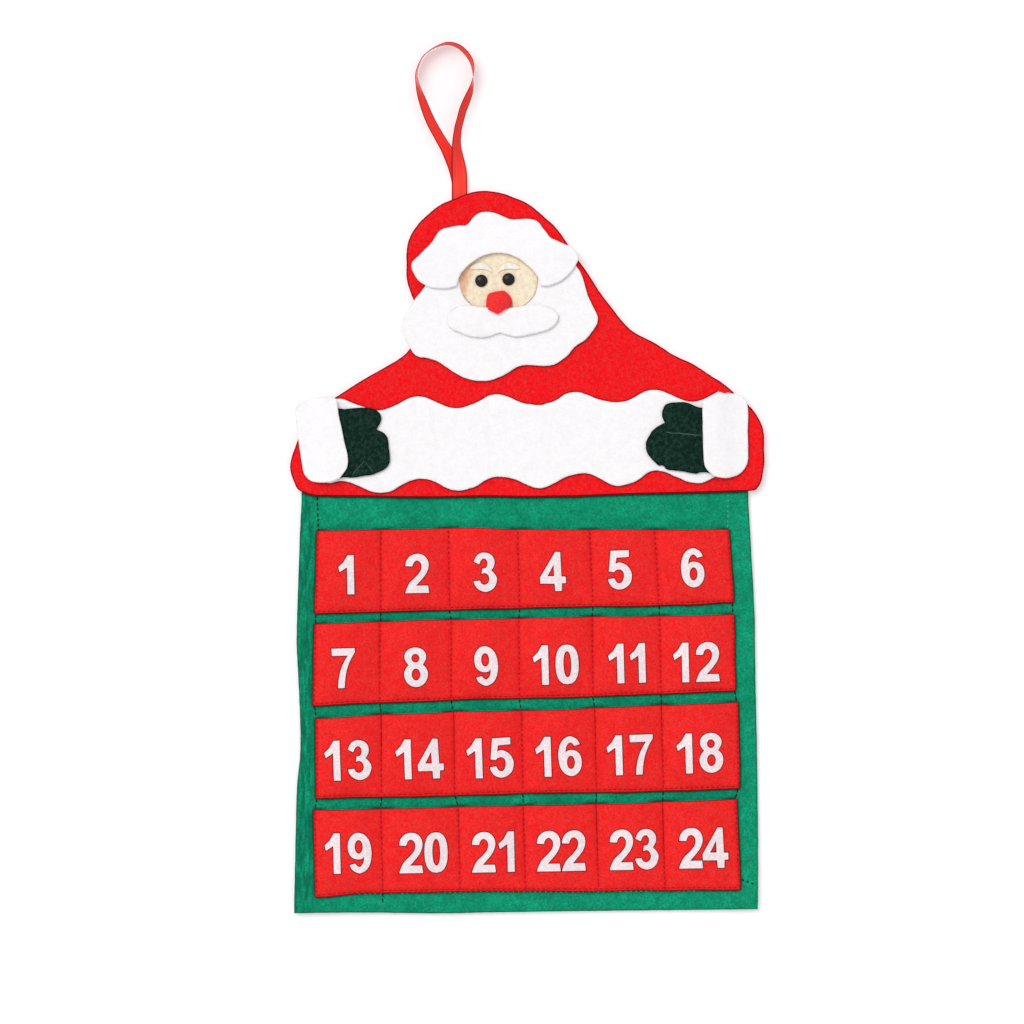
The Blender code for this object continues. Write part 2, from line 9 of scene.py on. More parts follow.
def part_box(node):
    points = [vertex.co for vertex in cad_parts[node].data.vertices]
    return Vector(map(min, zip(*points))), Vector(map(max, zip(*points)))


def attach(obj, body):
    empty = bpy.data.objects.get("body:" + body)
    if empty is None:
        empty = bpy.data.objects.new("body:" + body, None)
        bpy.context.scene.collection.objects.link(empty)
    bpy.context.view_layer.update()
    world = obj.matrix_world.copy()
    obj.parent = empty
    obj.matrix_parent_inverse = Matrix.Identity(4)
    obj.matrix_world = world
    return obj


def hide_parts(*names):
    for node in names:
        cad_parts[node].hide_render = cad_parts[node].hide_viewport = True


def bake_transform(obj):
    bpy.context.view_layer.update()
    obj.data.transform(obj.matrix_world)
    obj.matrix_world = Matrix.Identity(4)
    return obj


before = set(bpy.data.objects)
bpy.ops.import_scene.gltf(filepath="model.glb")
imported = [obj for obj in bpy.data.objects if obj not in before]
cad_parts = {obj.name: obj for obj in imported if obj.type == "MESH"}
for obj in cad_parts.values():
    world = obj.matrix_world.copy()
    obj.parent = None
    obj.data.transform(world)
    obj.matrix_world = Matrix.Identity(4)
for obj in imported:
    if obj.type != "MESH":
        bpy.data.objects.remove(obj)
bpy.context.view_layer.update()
bpy.context.scene.view_settings.view_transform = "Standard"
random.seed(24)
noise.seed_set(24)

MM = 0.001
CALENDAR = "calendar"
CENTRE_X = 0.052324
FELT = 0.0020
THIN_FELT = 0.0015
FACE_FELT = 0.0010
BROW_FELT = 0.0006
RAGGED = 0.00012


def linked(name, data):
    piece = bpy.data.objects.new(name, data)
    bpy.context.scene.collection.objects.link(piece)
    return piece


# Camera, light and backdrop
def shoot():
    camera_data = bpy.data.cameras.new("camera")
    camera_data.sensor_width = 36
    camera_data.lens = 160.8
    camera = linked("camera", camera_data)
    camera.location = (0.0429, -3.0, -0.3069)
    camera.rotation_euler = (math.radians(90), 0, 0)
    bpy.context.scene.camera = camera


def sun(name, strength, direction, softness):
    lamp = bpy.data.lights.new(name, "SUN")
    lamp.energy = strength
    lamp.angle = math.radians(softness)
    linked(name, lamp).rotation_euler = Vector(direction).to_track_quat("-Z", "Y").to_euler()


class Wire:
    # A shader socket that takes part in sums; any other node comes from add
    def __init__(self, tree, socket=None):
        self.tree = tree
        self.socket = socket

    def add(self, kind, settings=None, sockets=None, out=0):
        node = self.tree.nodes.new("ShaderNode" + kind)
        for name, value in (settings or {}).items():
            setattr(node, name, value)
        for name, value in (sockets or {}).items():
            if isinstance(value, Wire):
                self.tree.links.new(value.socket, node.inputs[name])
            else:
                node.inputs[name].default_value = value
        return Wire(self.tree, node.outputs[out])

    def math(self, operation, *values):
        if self.socket and self.socket.type == "VECTOR":
            return self.add("VectorMath", {"operation": operation}, dict(enumerate(values)))
        return self.add("Math", {"operation": operation}, dict(enumerate(values)))

    def __add__(self, other):
        return self.math("ADD", self, other)

    __radd__ = __add__

    def __sub__(self, other):
        return self.math("SUBTRACT", self, other)

    def __rsub__(self, other):
        return self.math("SUBTRACT", other, self)

    def __mul__(self, other):
        return self.math("MULTIPLY", self, other)

    __rmul__ = __mul__

    def size(self):
        return self.math("ABSOLUTE", self)

    def between(self, low, high, start=0.0, end=1.0):
        return self.add("MapRange", {"interpolation_type": "SMOOTHSTEP"},
                        {"Value": self, 1: low, 2: high, 3: start, 4: end})

    def scaled(self, size, turn=(0, 0, 0)):
        return self.add("Mapping", {}, {"Vector": self, "Scale": size, "Rotation": turn})

    def cloud(self, scale, detail=2.0, roughness=0.5, distortion=0.0):
        return self.add("TexNoise", {}, {"Vector": self, "Scale": scale, "Detail": detail,
                                         "Roughness": roughness, "Distortion": distortion})

    def axes(self):
        node = self.tree.nodes.new("ShaderNodeSeparateXYZ")
        self.tree.links.new(self.socket, node.inputs[0])
        return [Wire(self.tree, out) for out in node.outputs]

    def blend(self, first, second):
        # This value mixes from the first colour to the second
        return self.add("Mix", {"data_type": "RGBA"}, {"Factor": self, 6: first, 7: second}, 2)


def linear(colour):
    parts = [value / 255 for value in colour]
    return [p / 12.92 if p <= 0.04045 else ((p + 0.055) / 1.055) ** 2.4 for p in parts] + [1.0]


def finish(name, **constants):
    made = bpy.data.materials.new(name)
    made.use_nodes = True
    shader = made.node_tree.nodes["Principled BSDF"]
    for socket, value in constants.items():
        shader.inputs[socket.replace("_", " ")].default_value = value
    return made, Wire(made.node_tree), shader


def plug(wire, shader, socket):
    wire.tree.links.new(wire.socket, shader.inputs[socket])


def relief(height, distance, strength=1.0):
    return height.add("Bump", {}, {"Strength": strength, "Distance": distance, "Height": height})


def fibres(place):
    # Fine hairs that cross in three directions, in tufts
    tufts = place.cloud(380, 2.0).between(0.42, 0.60)
    total = None
    for turn, seed in ((0.3, 1.0), (1.35, 2.0), (2.4, 3.0)):
        combed = (place + (seed, seed, seed)).scaled((1300, 1300, 260), (0, turn, 0))
        hair = combed.cloud(1.0, 2.0, 0.6, 0.6)
        ridge = (hair - 0.5).size().between(0.0, 0.032, 1.0, 0.0)
        total = ridge if total is None else total.math("MAXIMUM", total, ridge)
    return total * tufts


def felt(name, colour, deep, pale, blotch=0.30, blotch_size=0.006, speck=0.25, hair=0.22, nap=0.00022,
         contact_shade=None, reach=0.0020, broad=0.0, marks=()):
    made, start, shader = finish(name, Roughness=0.95, Sheen_Weight=0.03, Sheen_Roughness=0.6,
                                 Specular_IOR_Level=0.06)
    place = start.add("TexCoord", {}, {}, 3)
    hairs = fibres(place)
    blotches = place.cloud(1 / blotch_size, 3.0, 0.6).between(0.35, 0.68)
    specks = place.cloud(950, 3.0, 0.6).between(0.38, 0.62)
    shade = (blotches * blotch).blend(linear(colour), linear(deep))
    shade = (specks * speck).blend(shade, linear(deep))
    shade = (hairs * hair).blend(shade, linear(pale))
    if broad:
        shade = (place.cloud(32, 2.0).between(0.36, 0.64) * broad).blend(shade, linear(deep))
    for mark in marks:
        shade = mark(place, shade)
    if contact_shade:
        # Painted shade: darker where another layer stands on its front, as the ambient occlusion finds it
        open_sky = start.add("AmbientOcclusion", {"samples": 8}, {"Distance": reach}, 1)
        front = start.add("TexCoord", {}, {}, 1).axes()[1].between(-0.3, 0.3, 1.0, 0.0)
        shade = (open_sky.between(0.50, 0.96, 0.95, 0.0) * front).blend(shade, linear(contact_shade))
    plug(shade, shader, "Base Color")
    height = hairs * 0.6 + specks * 0.5 + blotches * 0.6
    plug(relief(height, nap, 0.7), shader, "Normal")
    return made


def line_mark(x, z, length, slope, width, colour, amount):
    # A thin pale line from a point to the right, over the felt's own colour
    def draw(place, shade):
        across, _, up = place.axes()
        wander = (place.cloud(260, 2.0) - 0.5) * 0.0016
        away = (up - z - (across - x) * slope + wander).size().between(0.0, width, 1.0, 0.0)
        half = length / 2
        within = (across - (x + half)).size().between(half - 0.001, half + 0.001, 1.0, 0.0)
        return (away * within * amount).blend(shade, linear(colour))
    return draw


def sewn_shade(place, shade):
    # The pockets' own attributes: painted shade in the pressed seams' grooves, and the strip's darker cut
    # edge, partly its own colour and partly painted shade
    seam_groove_shade = place.add("Attribute", {"attribute_name": "seam"}, {}, 2)
    edge_line = place.add("Attribute", {"attribute_name": "cut_edge"}, {}, 2)
    shade = (seam_groove_shade * 0.35).blend(shade, linear((206, 12, 24)))
    return (edge_line.between(0.35, 0.95) * 0.8).blend(shade, linear((120, 8, 22)))


def margin_ripples(place, shade):
    # Painted shade of the panel's ripples: darker upright streaks down its left margin
    across = place.axes()[0]
    streaks = place.scaled((420, 1, 70)).cloud(1.0, 3.0, 0.6).between(0.36, 0.62)
    margin = across.between(-0.0905, -0.0845, 1.0, 0.0)
    return (streaks * margin * 0.75).blend(shade, linear((2, 96, 72)))


def side_glow(start, width, colour, amount):
    # Painted shadow: a warm shade that fades out to the right, from a slanted line; on the face it stands
    # for the hat brim's shadow
    def draw(place, shade):
        across, _, up = place.axes()
        slanted = across - up * 0.25 + place.cloud(300, 2.0) * 0.003
        near = slanted.between(start, start + width, 1.0, 0.0)
        return (near * amount).blend(shade, linear(colour))
    return draw


# Finishes
# The contact colours below are painted shade, where another layer stands in front
red = felt("red_felt", (255, 26, 32), (230, 6, 20), (255, 96, 84), blotch=0.25, blotch_size=0.0035,
           speck=0.75, hair=0.35, contact_shade=(110, 6, 20))
# The felt rim finishes are the darker cut edges: partly the felt's own deeper edge colour, partly painted
# shade where the edge rolls back
red_rim = felt("red_felt_rim", (138, 4, 24), (104, 2, 18), (206, 40, 48))
pocket_red = felt("pocket_felt", (255, 46, 44), (226, 16, 24), (255, 100, 84), blotch=0.35,
                  blotch_size=0.007, speck=0.70, hair=0.35, contact_shade=(150, 10, 22), marks=[sewn_shade])
pocket_rim = felt("pocket_felt_rim", (138, 22, 22), (104, 16, 18), (200, 52, 46))
green = felt("green_felt", (10, 172, 127), (0, 112, 80), (70, 204, 164), blotch=0.48, blotch_size=0.0055,
             speck=0.62, hair=0.42, contact_shade=(16, 30, 24), reach=0.0038, broad=0.26, marks=[margin_ripples])
green_rim = felt("green_felt_rim", (10, 104, 76), (4, 80, 58), (60, 160, 124))
white = felt("white_felt", (253, 252, 253), (246, 242, 245), (255, 254, 254), blotch=0.5, speck=0.6,
             nap=0.00008, contact_shade=(244, 240, 243))
brow_white = felt("eyebrow_felt", (255, 250, 240), (254, 240, 222), (255, 253, 248), blotch=0.7,
                  blotch_size=0.0015, speck=0.6, hair=0.5)
white_rim = felt("white_felt_rim", (246, 242, 243), (236, 230, 232), (254, 253, 253))
dark_green = felt("dark_green_felt", (12, 44, 35), (2, 24, 18), (84, 116, 100), blotch=0.35,
                  blotch_size=0.004, speck=0.60, hair=0.30, contact_shade=(3, 10, 8),
                  marks=[line_mark(0.1440, -0.2547, 0.0228, -0.09, 0.00045, (100, 136, 120), 0.55),
                         line_mark(-0.0612, -0.2816, 0.0070, 1.07, 0.00050, (108, 142, 128), 0.45),
                         line_mark(-0.0517, -0.2761, 0.0036, -1.25, 0.00050, (108, 142, 128), 0.45)])
dark_green_rim = felt("dark_green_felt_rim", (6, 16, 14), (4, 10, 8), (30, 50, 44))
skin = felt("skin_cloth", (255, 243, 218), (249, 230, 198), (255, 250, 236), blotch=0.5, blotch_size=0.004,
            speck=0.5, contact_shade=(246, 212, 182), reach=0.003,
            marks=[side_glow(0.0515, 0.0070, (226, 164, 122), 0.8)])
skin_rim = felt("skin_cloth_rim", (232, 200, 166), (216, 176, 140), (244, 220, 194))
nose_red = felt("nose_felt", (254, 58, 60), (236, 30, 40), (255, 110, 96), blotch=0.3, blotch_size=0.003,
                speck=0.6, contact_shade=(150, 24, 24))
print_white = felt("numeral_print", (253, 246, 247), (238, 210, 216), (255, 253, 252), blotch=0.6,
                   blotch_size=0.0022, speck=0.8, hair=0.4, nap=0.00010)
print_rim = felt("numeral_rim", (112, 8, 22), (86, 4, 16), (160, 30, 40))
red_thread = felt("red_thread", (208, 14, 26), (176, 10, 22), (228, 34, 40))
green_thread = felt("green_thread", (10, 46, 34), (6, 32, 24), (70, 120, 96), hair=0.2)
pale_thread = felt("pale_thread", (126, 190, 160), (84, 150, 122), (170, 214, 190))


def bead():
    made, start, shader = finish("black_bead", Roughness=0.28, Specular_IOR_Level=0.2, Coat_Weight=0.12,
                                 Coat_Roughness=0.08)
    place = start.add("TexCoord", {}, {}, 3)
    dust = place.cloud(900, 3.0).between(0.45, 0.75)
    plug((dust * 0.5).blend(linear((14, 11, 15)), linear((38, 34, 40))), shader, "Base Color")
    plug(place.cloud(700, 2.0).between(0.2, 0.8, 0.24, 0.42), shader, "Roughness")
    return made


black_bead = bead()


def satin():
    # UV runs across the ribbon from 0 to 1, and along it in metres
    made, start, shader = finish("red_satin", Anisotropic=0.4, Specular_IOR_Level=0.03)
    spot = start.add("UVMap", {"uv_map": "ribbon"})
    across, along, _ = spot.axes()
    border = (across - 0.5).size().between(0.400, 0.455)
    picks = (along * 9000.0).math("SINE", along * 9000.0) * 0.5 + 0.5
    warp_and_sheen = spot.scaled((90, 14, 1)).cloud(1.0, 3.0, 0.6)
    # Lighter lengthwise streaks: partly the warp's own tone, partly painted satin sheen
    shade = warp_and_sheen.between(0.35, 0.7).blend(linear((252, 42, 40)), linear((255, 92, 76)))
    shade = (border * 0.9).blend(shade, linear((138, 8, 24)))
    shade = (border * picks * 0.25).blend(shade, linear((226, 60, 56)))
    plug(shade, shader, "Base Color")
    plug(border * 0.30 + warp_and_sheen * 0.12 + 0.32, shader, "Roughness")
    plug(relief(warp_and_sheen * 0.3 + border * picks, 0.00008, 0.5), shader, "Normal")
    return made


red_satin = satin()


def backdrop():
    bpy.ops.object.select_all(action="DESELECT")
    bpy.ops.mesh.primitive_plane_add(size=8, location=(0.05, 0.0006, -0.3),
                                     rotation=(math.radians(90), 0, 0))
    wall = bpy.context.object
    wall.name = "backdrop"
    made = bpy.data.materials.new("backdrop")
    made.use_nodes = True
    tree = made.node_tree
    tree.nodes.clear()
    start = Wire(tree)
    paper = start.add("BsdfDiffuse", {}, {"Color": linear((226, 226, 228))})
    glow = start.add("Emission", {}, {"Color": (1, 1, 1, 1), "Strength": 0.30})
    lit = start.add("AddShader", {}, {0: paper, 1: glow})
    path = start.add("LightPath", {}, {}, 0)
    behind = start.add("NewGeometry", {}, {}, 6)
    seen = path * (1 - behind)
    clear = start.add("BsdfTransparent")
    out = start.add("MixShader", {}, {0: seen, 1: clear, 2: lit})
    end = tree.nodes.new("ShaderNodeOutputMaterial")
    tree.links.new(out.socket, end.inputs[0])
    wall.data.materials.append(made)

    world = bpy.data.worlds.new("studio")
    bpy.context.scene.world = world
    world.use_nodes = True
    tree = world.node_tree
    start = Wire(tree)
    camera, gloss, clear = [start.add("LightPath", {}, {}, out) for out in (0, 3, 6)]
    seen = camera.math("MAXIMUM", camera, gloss)
    strength = seen.math("MAXIMUM", seen, clear) * 0.32 + 0.68
    shader = tree.nodes["Background"]
    shader.inputs["Color"].default_value = (1, 1, 1, 1)
    tree.links.new(strength.socket, shader.inputs["Strength"])


shoot()
sun("key", 1.35, (0.40, 0.84, -0.44), 36)
sun("behind", 0.9, (-0.2, -0.9, -0.3), 40)
backdrop()


# Shaping helpers
def only(piece):
    if bpy.context.object and bpy.context.object.mode != "OBJECT":
        bpy.ops.object.mode_set(mode="OBJECT")
    bpy.ops.object.select_all(action="DESELECT")
    piece.select_set(True)
    bpy.context.view_layer.objects.active = piece


def edit_all(piece):
    only(piece)
    bpy.ops.object.mode_set(mode="EDIT")
    bpy.ops.mesh.select_all(action="SELECT")


def close():
    bpy.ops.object.mode_set(mode="OBJECT")


def smooth(piece, degrees):
    only(piece)
    bpy.ops.object.shade_smooth_by_angle(angle=math.radians(degrees))


def stand_in(piece, node):
    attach(piece, CALENDAR)
    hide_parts(node)


def select(piece, kind, wanted):
    # In edit mode: selects the faces, edges or verts that wanted says yes to
    mesh = bmesh.from_edit_mesh(piece.data)
    mesh.select_mode = {kind[:-1].upper()}
    for group in (mesh.verts, mesh.edges, mesh.faces):
        for part in group:
            part.select = False
    for part in getattr(mesh, kind):
        if wanted(part):
            part.select_set(True)
    mesh.select_flush_mode()
    bmesh.update_edit_mesh(piece.data)


def lift(point):
    # How far the felt stands off the backdrop: all the layers share it, so they never cross
    wave = noise.noise(Vector((point.x * 9, 0.3, point.z * 9))) * 0.5 + 0.5
    small = noise.noise(Vector((point.x * 31, 7.1, point.z * 31))) * 0.5 + 0.5
    low = min(max((-point.z - 0.46) / 0.12, 0.0), 1.0)
    side = min(max((abs(point.x - 0.052) - 0.09) / 0.08, 0.0), 1.0)
    calm = min(max((-point.z - 0.10) / 0.05, 0.15), 1.0)
    return (0.0009 * wave * calm + 0.0004 * small * calm + 0.0022 * low * low * side)


def raise_all(piece):
    for vertex in piece.data.vertices:
        vertex.co.y -= lift(vertex.co)


def grid_cuts(piece, step):
    # Cuts the flat faces into a grid, so that the sheet can bend
    mesh = bmesh.from_edit_mesh(piece.data)
    low = [min(v.co[i] for v in mesh.verts) for i in range(3)]
    high = [max(v.co[i] for v in mesh.verts) for i in range(3)]
    for axis, normal in ((0, (1, 0, 0)), (2, (0, 0, 1))):
        place = math.ceil(low[axis] / step) * step
        while place < high[axis]:
            spot = [0.0, 0.0, 0.0]
            spot[axis] = place
            bpy.ops.mesh.select_all(action="SELECT")
            bpy.ops.mesh.bisect(plane_co=spot, plane_no=normal)
            place += step


def modify(piece, kind, **settings):
    only(piece)
    made = piece.modifiers.new(kind.lower(), kind)
    for name, value in settings.items():
        setattr(made, name, value)
    bpy.ops.object.modifier_apply(modifier=made.name)


def solid_copy(node, name, *finishes):
    # A CAD node's own form, open in edit mode with its points welded
    piece = linked(name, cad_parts[node].data.copy())
    piece.data.materials.clear()
    for surface in finishes:
        piece.data.materials.append(surface)
    only(piece)
    bpy.ops.mesh.customdata_custom_splitnormals_clear()
    edit_all(piece)
    bpy.ops.mesh.remove_doubles(threshold=0.000002)
    return piece


def flat_front(node, name, *finishes):
    # The outline of a CAD felt node as one flat face
    piece = solid_copy(node, name, *finishes)
    select(piece, "faces", lambda face: face.normal.y > -0.3)
    bpy.ops.mesh.delete(type="FACE")
    bpy.ops.mesh.select_all(action="SELECT")
    bpy.ops.transform.resize(value=(1, 0, 1), center_override=(0, 0, 0))
    bpy.ops.mesh.dissolve_limited(angle_limit=math.radians(1.5))
    return piece


def drape(piece, node):
    # Gives the flat sheet the height of the CAD node's front
    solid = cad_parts[node]
    there = solid.matrix_world.inverted()
    for vertex in piece.data.vertices:
        # A ray can slip between two triangles, so three are sent and the frontmost counts
        fronts = []
        for x, z in ((0, 0), (0.00003, 0.00001), (-0.00001, -0.00003)):
            start = there @ Vector((vertex.co.x + x, -0.1, vertex.co.z + z))
            hit, spot, _, _ = solid.ray_cast(start, Vector((0, 1, 0)))
            if hit:
                fronts.append((solid.matrix_world @ spot).y)
        if not fronts:
            _, spot, _, _ = solid.closest_point_on_mesh(there @ Vector((vertex.co.x, -0.012, vertex.co.z)))
            fronts = [(solid.matrix_world @ spot).y]
        vertex.co.y = min(fronts)


def soften_outline(piece, rounds=2):
    # Twice as many points, eased into curves, with the true corners kept
    for _ in range(rounds):
        mesh = bmesh.from_edit_mesh(piece.data)
        corners = []
        for vertex in mesh.verts:
            rim = [edge for edge in vertex.link_edges if edge.is_boundary]
            if len(rim) == 2:
                ways = [(edge.other_vert(vertex).co - vertex.co).normalized() for edge in rim]
                if ways[0].angle(-ways[1]) > math.radians(50):
                    corners.append(vertex.co.copy())
        bpy.ops.mesh.select_all(action="SELECT")
        bpy.ops.mesh.subdivide(number_cuts=1)
        select(piece, "verts", lambda v: v.is_boundary and all((v.co - c).length > 0.00001 for c in corners))
        bpy.ops.mesh.vertices_smooth(factor=0.5, repeat=2)


# Small corrections of the cut edges, in millimetres: place across and up, shift across and up, reach
nudges = {
    "backing_panel": [
        (198, -371, 0.9, 0, 48), (196, -301, -0.7, 0, 20), (-91, -301, 0.4, 0, 20),
    ],
    "robe": [
        (206, -270, 0.8, 0, 26), (72.4, -120.8, 1, 0.8, 22), (55.2, -106.4, 0.8, 1.3, 15),
        (-3, -105, -0.9, 0.7, 12), (-25.9, -132, -0.7, 0, 14), (-25.9, -158.2, -1, 0, 14),
        (109.1, -174.6, 0.8, 0.6, 22), (136.6, -196.2, 0.4, 0.7, 16), (162.8, -210.6, 0.6, 1.1, 16),
        (206.6, -251.9, 1.2, 0, 14), (207.5, -277, 0.7, 0, 10), (204, -288, 1, -0.5, 10),
        (-53.4, -219, -0.3, 0.4, 22), (-96.6, -292.5, -0.6, -0.1, 6), (-15, -296.5, 0, -0.75, 45),
        (70, -296.5, 0, -1, 45), (94, -152.3, 0.6, 0.3, 16), (202, -245, 0.5, 0.3, 12),
        (178, -222, 0.5, 0.5, 14),
    ],
    "face": [
        (9, -154, -1.4, 0, 16), (58.5, -156.5, 2.2, 0, 15), (55.3, -166, 0.7, -0.5, 8),
        (12.1, -165.4, -0.5, -0.4, 8),
    ],
    "beard": [
        (9, -154, -1.4, 0, 16), (58.5, -156.5, 2.2, 0, 15), (97.9, -182.4, 0.7, 0.2, 12),
        (90.7, -194.9, 0.5, -0.6, 10), (-24, -200, 0, 0.8, 6), (84, -198.5, 0, 1.3, 9),
        (28.5, -220.4, 0, -0.5, 7), (71, -210, 0, -0.4, 8), (55.3, -166, 0.7, -0.5, 8),
        (12.1, -165.4, -0.5, -0.4, 8),
    ],
    "hat_brim": [
        (9, -154, -1.4, 0, 16), (58.5, -156.5, 2.2, 0, 15), (69.8, -128, -0.4, -0.9, 7),
        (76.5, -129.4, 0.2, -1, 7), (-21.3, -141.2, 1, -0.7, 8), (-18.7, -137.9, 0.6, -0.5, 9),
        (-6.9, -124.8, 0, 0.7, 5), (14.1, -117.6, 0, -1.3, 6.5), (29.8, -110.4, 0, -0.4, 9),
        (50.8, -114.3, 0, 0.5, 8), (61.2, -118.2, 0, 0.9, 6.5), (77, -131.3, 0, -0.9, 6.5),
        (-10.8, -126, 0.5, -0.6, 9),
    ],
    "robe_trim": [
        (138, -281.5, 0, 1.2, 14), (98.6, -283.6, 0, 2.5, 17), (49.5, -287.2, 0, 1.4, 14),
        (-7.5, -286.6, 0, 0.7, 9), (20, -289.2, 0, -0.8, 7), (124, -284.5, 0, -1.2, 10),
        (145.7, -281.3, 0, 0.6, 5), (161.5, -287.2, 0, 0.8, 6), (-35, -292.5, 0, -0.5, 7),
        (21.3, -234.2, 0, -0.9, 9), (56, -236.1, 0, 0.9, 8), (71.7, -232.8, 0, -1.1, 8),
        (107.1, -233.8, 0, 1.3, 12), (122.5, -231.5, 0, -0.6, 8), (153, -286.5, 0, 1.2, 10),
        (-79, -288.3, 0.5, 1.6, 4), (-61.9, -235.5, 0, -0.8, 8), (-30.5, -236, 0, -0.5, 10),
    ],
    "mitten_left": [
        (-43, -246, -0.9, 0, 10), (-44.9, -253.1, -1, 0, 5), (-37.7, -266.3, -0.6, 0, 10),
        (-66.5, -282.7, 0, 0.7, 6), (-36, -260, -1, 0, 14), (-52, -283, 0, 1, 12),
        (-43, -280, -0.6, 0.8, 8),
    ],
    "mitten_right": [
        (166, -236, 0, -1.6, 9), (148.7, -234.8, 0, -0.7, 9), (136.6, -249.9, 0.8, -0.4, 6),
        (141.5, -277, 0.2, 0.9, 4), (139, -240, 1.1, -0.9, 10), (131, -254, 1.6, -0.6, 9),
        (131, -264, 1.1, 0.3, 12), (137, -274, 0.6, 0.9, 8), (141.5, -278, 0, 1.2, 3),
        (152, -283, 0, 1.6, 12), (169, -284.5, -1.6, 1.9, 7),
    ],
    "cuff_left": [
        (-89.5, -283, -0.7, -0.9, 9), (-64.3, -270, 1.1, 0, 12), (-70.5, -240, -0.6, 0, 8),
        (-69.1, -246.6, -0.5, 0, 9), (-66.8, -230, -0.8, 0, 9),
    ],
    "cuff_right": [
        (169.3, -229.9, 1.2, -2.6, 4.5), (173.3, -228.6, 0.2, -2.2, 3.6), (178.8, -227.6, 0, 0.9, 1.8),
        (182, -228, 0, -0.7, 2.4), (186.5, -228.4, 0, -0.5, 3), (197.2, -241.4, 0.8, 0, 14),
    ],
}
ROBE_CORNER = (194.8, -281.9, 12.3)


def nudge(piece, node):
    if node == "face":
        # Cut a little full, so that it fills the beard's scoop
        middle = (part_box(node)[0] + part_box(node)[1]) / 2
        for vertex in piece.data.vertices:
            out = Vector((vertex.co.x - middle.x, 0, vertex.co.z - middle.z))
            vertex.co += out.normalized() * 0.00024
    if node == "backing_panel":
        # The sheet is a little wider and longer than its solid
        for vertex in piece.data.vertices:
            vertex.co.x += (vertex.co.x - CENTRE_X) * 0.0082
            if vertex.co.z < -0.5:
                vertex.co.z -= 0.0004
    if node == "robe":
        # The hem's right corner is a round cut
        x, z, radius = [value * MM for value in ROBE_CORNER]
        for vertex in piece.data.vertices:
            out = Vector((vertex.co.x - x, 0, vertex.co.z - z))
            if out.x > 0 and out.z < 0 and out.length > radius:
                vertex.co = Vector((x, vertex.co.y, z)) + out.normalized() * radius
    for x, z, right, up, reach in nudges.get(node, ()):
        for vertex in piece.data.vertices:
            away = math.hypot(vertex.co.x / MM - x, vertex.co.z / MM - z) / reach
            if away < 1:
                vertex.co.x += right * MM * (1 - away * away) ** 2
                vertex.co.z += up * MM * (1 - away * away) ** 2


def sheet_of_felt(node, thickness, surface, rim, step=0.005, fold=0, edge=0.0007):
    piece = flat_front(node, node + "_felt", surface, rim)
    soften_outline(piece)
    close()
    nudge(piece, node)
    # The cut edge is a narrow ring of the darker rim finish, rolled back a little: partly the felt's own
    # deeper edge colour, partly painted shade
    edit_all(piece)
    bpy.ops.mesh.remove_doubles(threshold=0.0004)
    bpy.ops.mesh.select_all(action="SELECT")
    bpy.ops.mesh.inset(thickness=edge, use_even_offset=False)
    select(piece, "faces", lambda face: face.is_valid and any(e.is_boundary for e in face.edges))
    piece.active_material_index = 1
    bpy.ops.object.material_slot_assign()
    grid_cuts(piece, step)
    bpy.ops.mesh.select_all(action="SELECT")
    bpy.ops.mesh.remove_doubles(threshold=0.00002)
    close()
    drape(piece, node)
    if fold:
        edit_all(piece)
        bpy.ops.mesh.vertices_smooth(factor=0.5, repeat=fold, xaxis=False, zaxis=False)
        close()
    rim_points = {i for edge in open_edges(piece) for i in edge}
    for i in rim_points:
        co = piece.data.vertices[i].co
        shift = noise.noise_vector(co * 900) * RAGGED + noise.noise_vector(co * 260) * RAGGED
        co.x += shift.x
        co.z += shift.z
        co.y += min(edge * 0.5, thickness * 0.3)
    modify(piece, "SOLIDIFY", thickness=thickness, offset=-1.0, use_even_offset=False,
           material_offset_rim=1)
    raise_all(piece)
    smooth(piece, 50)
    stand_in(piece, node)
    return piece


def open_edges(piece):
    used = {}
    for face in piece.data.polygons:
        for pair in face.edge_keys:
            used[pair] = used.get(pair, 0) + 1
    return [pair for pair, count in used.items() if count == 1]


# Felt layers from the wall to the front
panel = sheet_of_felt("backing_panel", FELT, green, green_rim)
sheet_of_felt("robe", FELT, red, red_rim, edge=0.0009)
sheet_of_felt("beard", FELT, white, white_rim, step=0.004)
sheet_of_felt("face", FACE_FELT, skin, skin_rim, step=0.003, edge=0.0004)
sheet_of_felt("hat_brim", FELT, white, white_rim, step=0.002, fold=20)
sheet_of_felt("moustache", FELT, white, white_rim, step=0.004)
sheet_of_felt("robe_trim", THIN_FELT, white, white_rim)
for side in ("left", "right"):
    sheet_of_felt("eyebrow_" + side, BROW_FELT, brow_white, brow_white, step=0.002,
                  edge=0.0002)
    sheet_of_felt("mitten_" + side, THIN_FELT, dark_green, dark_green_rim,
                  step=0.004)
    sheet_of_felt("cuff_" + side, FELT, white, white_rim, step=0.002,
                  fold=30)


# Padded nose and the bead eyes
NOSE_POINT = (0.0335, -0.1776)


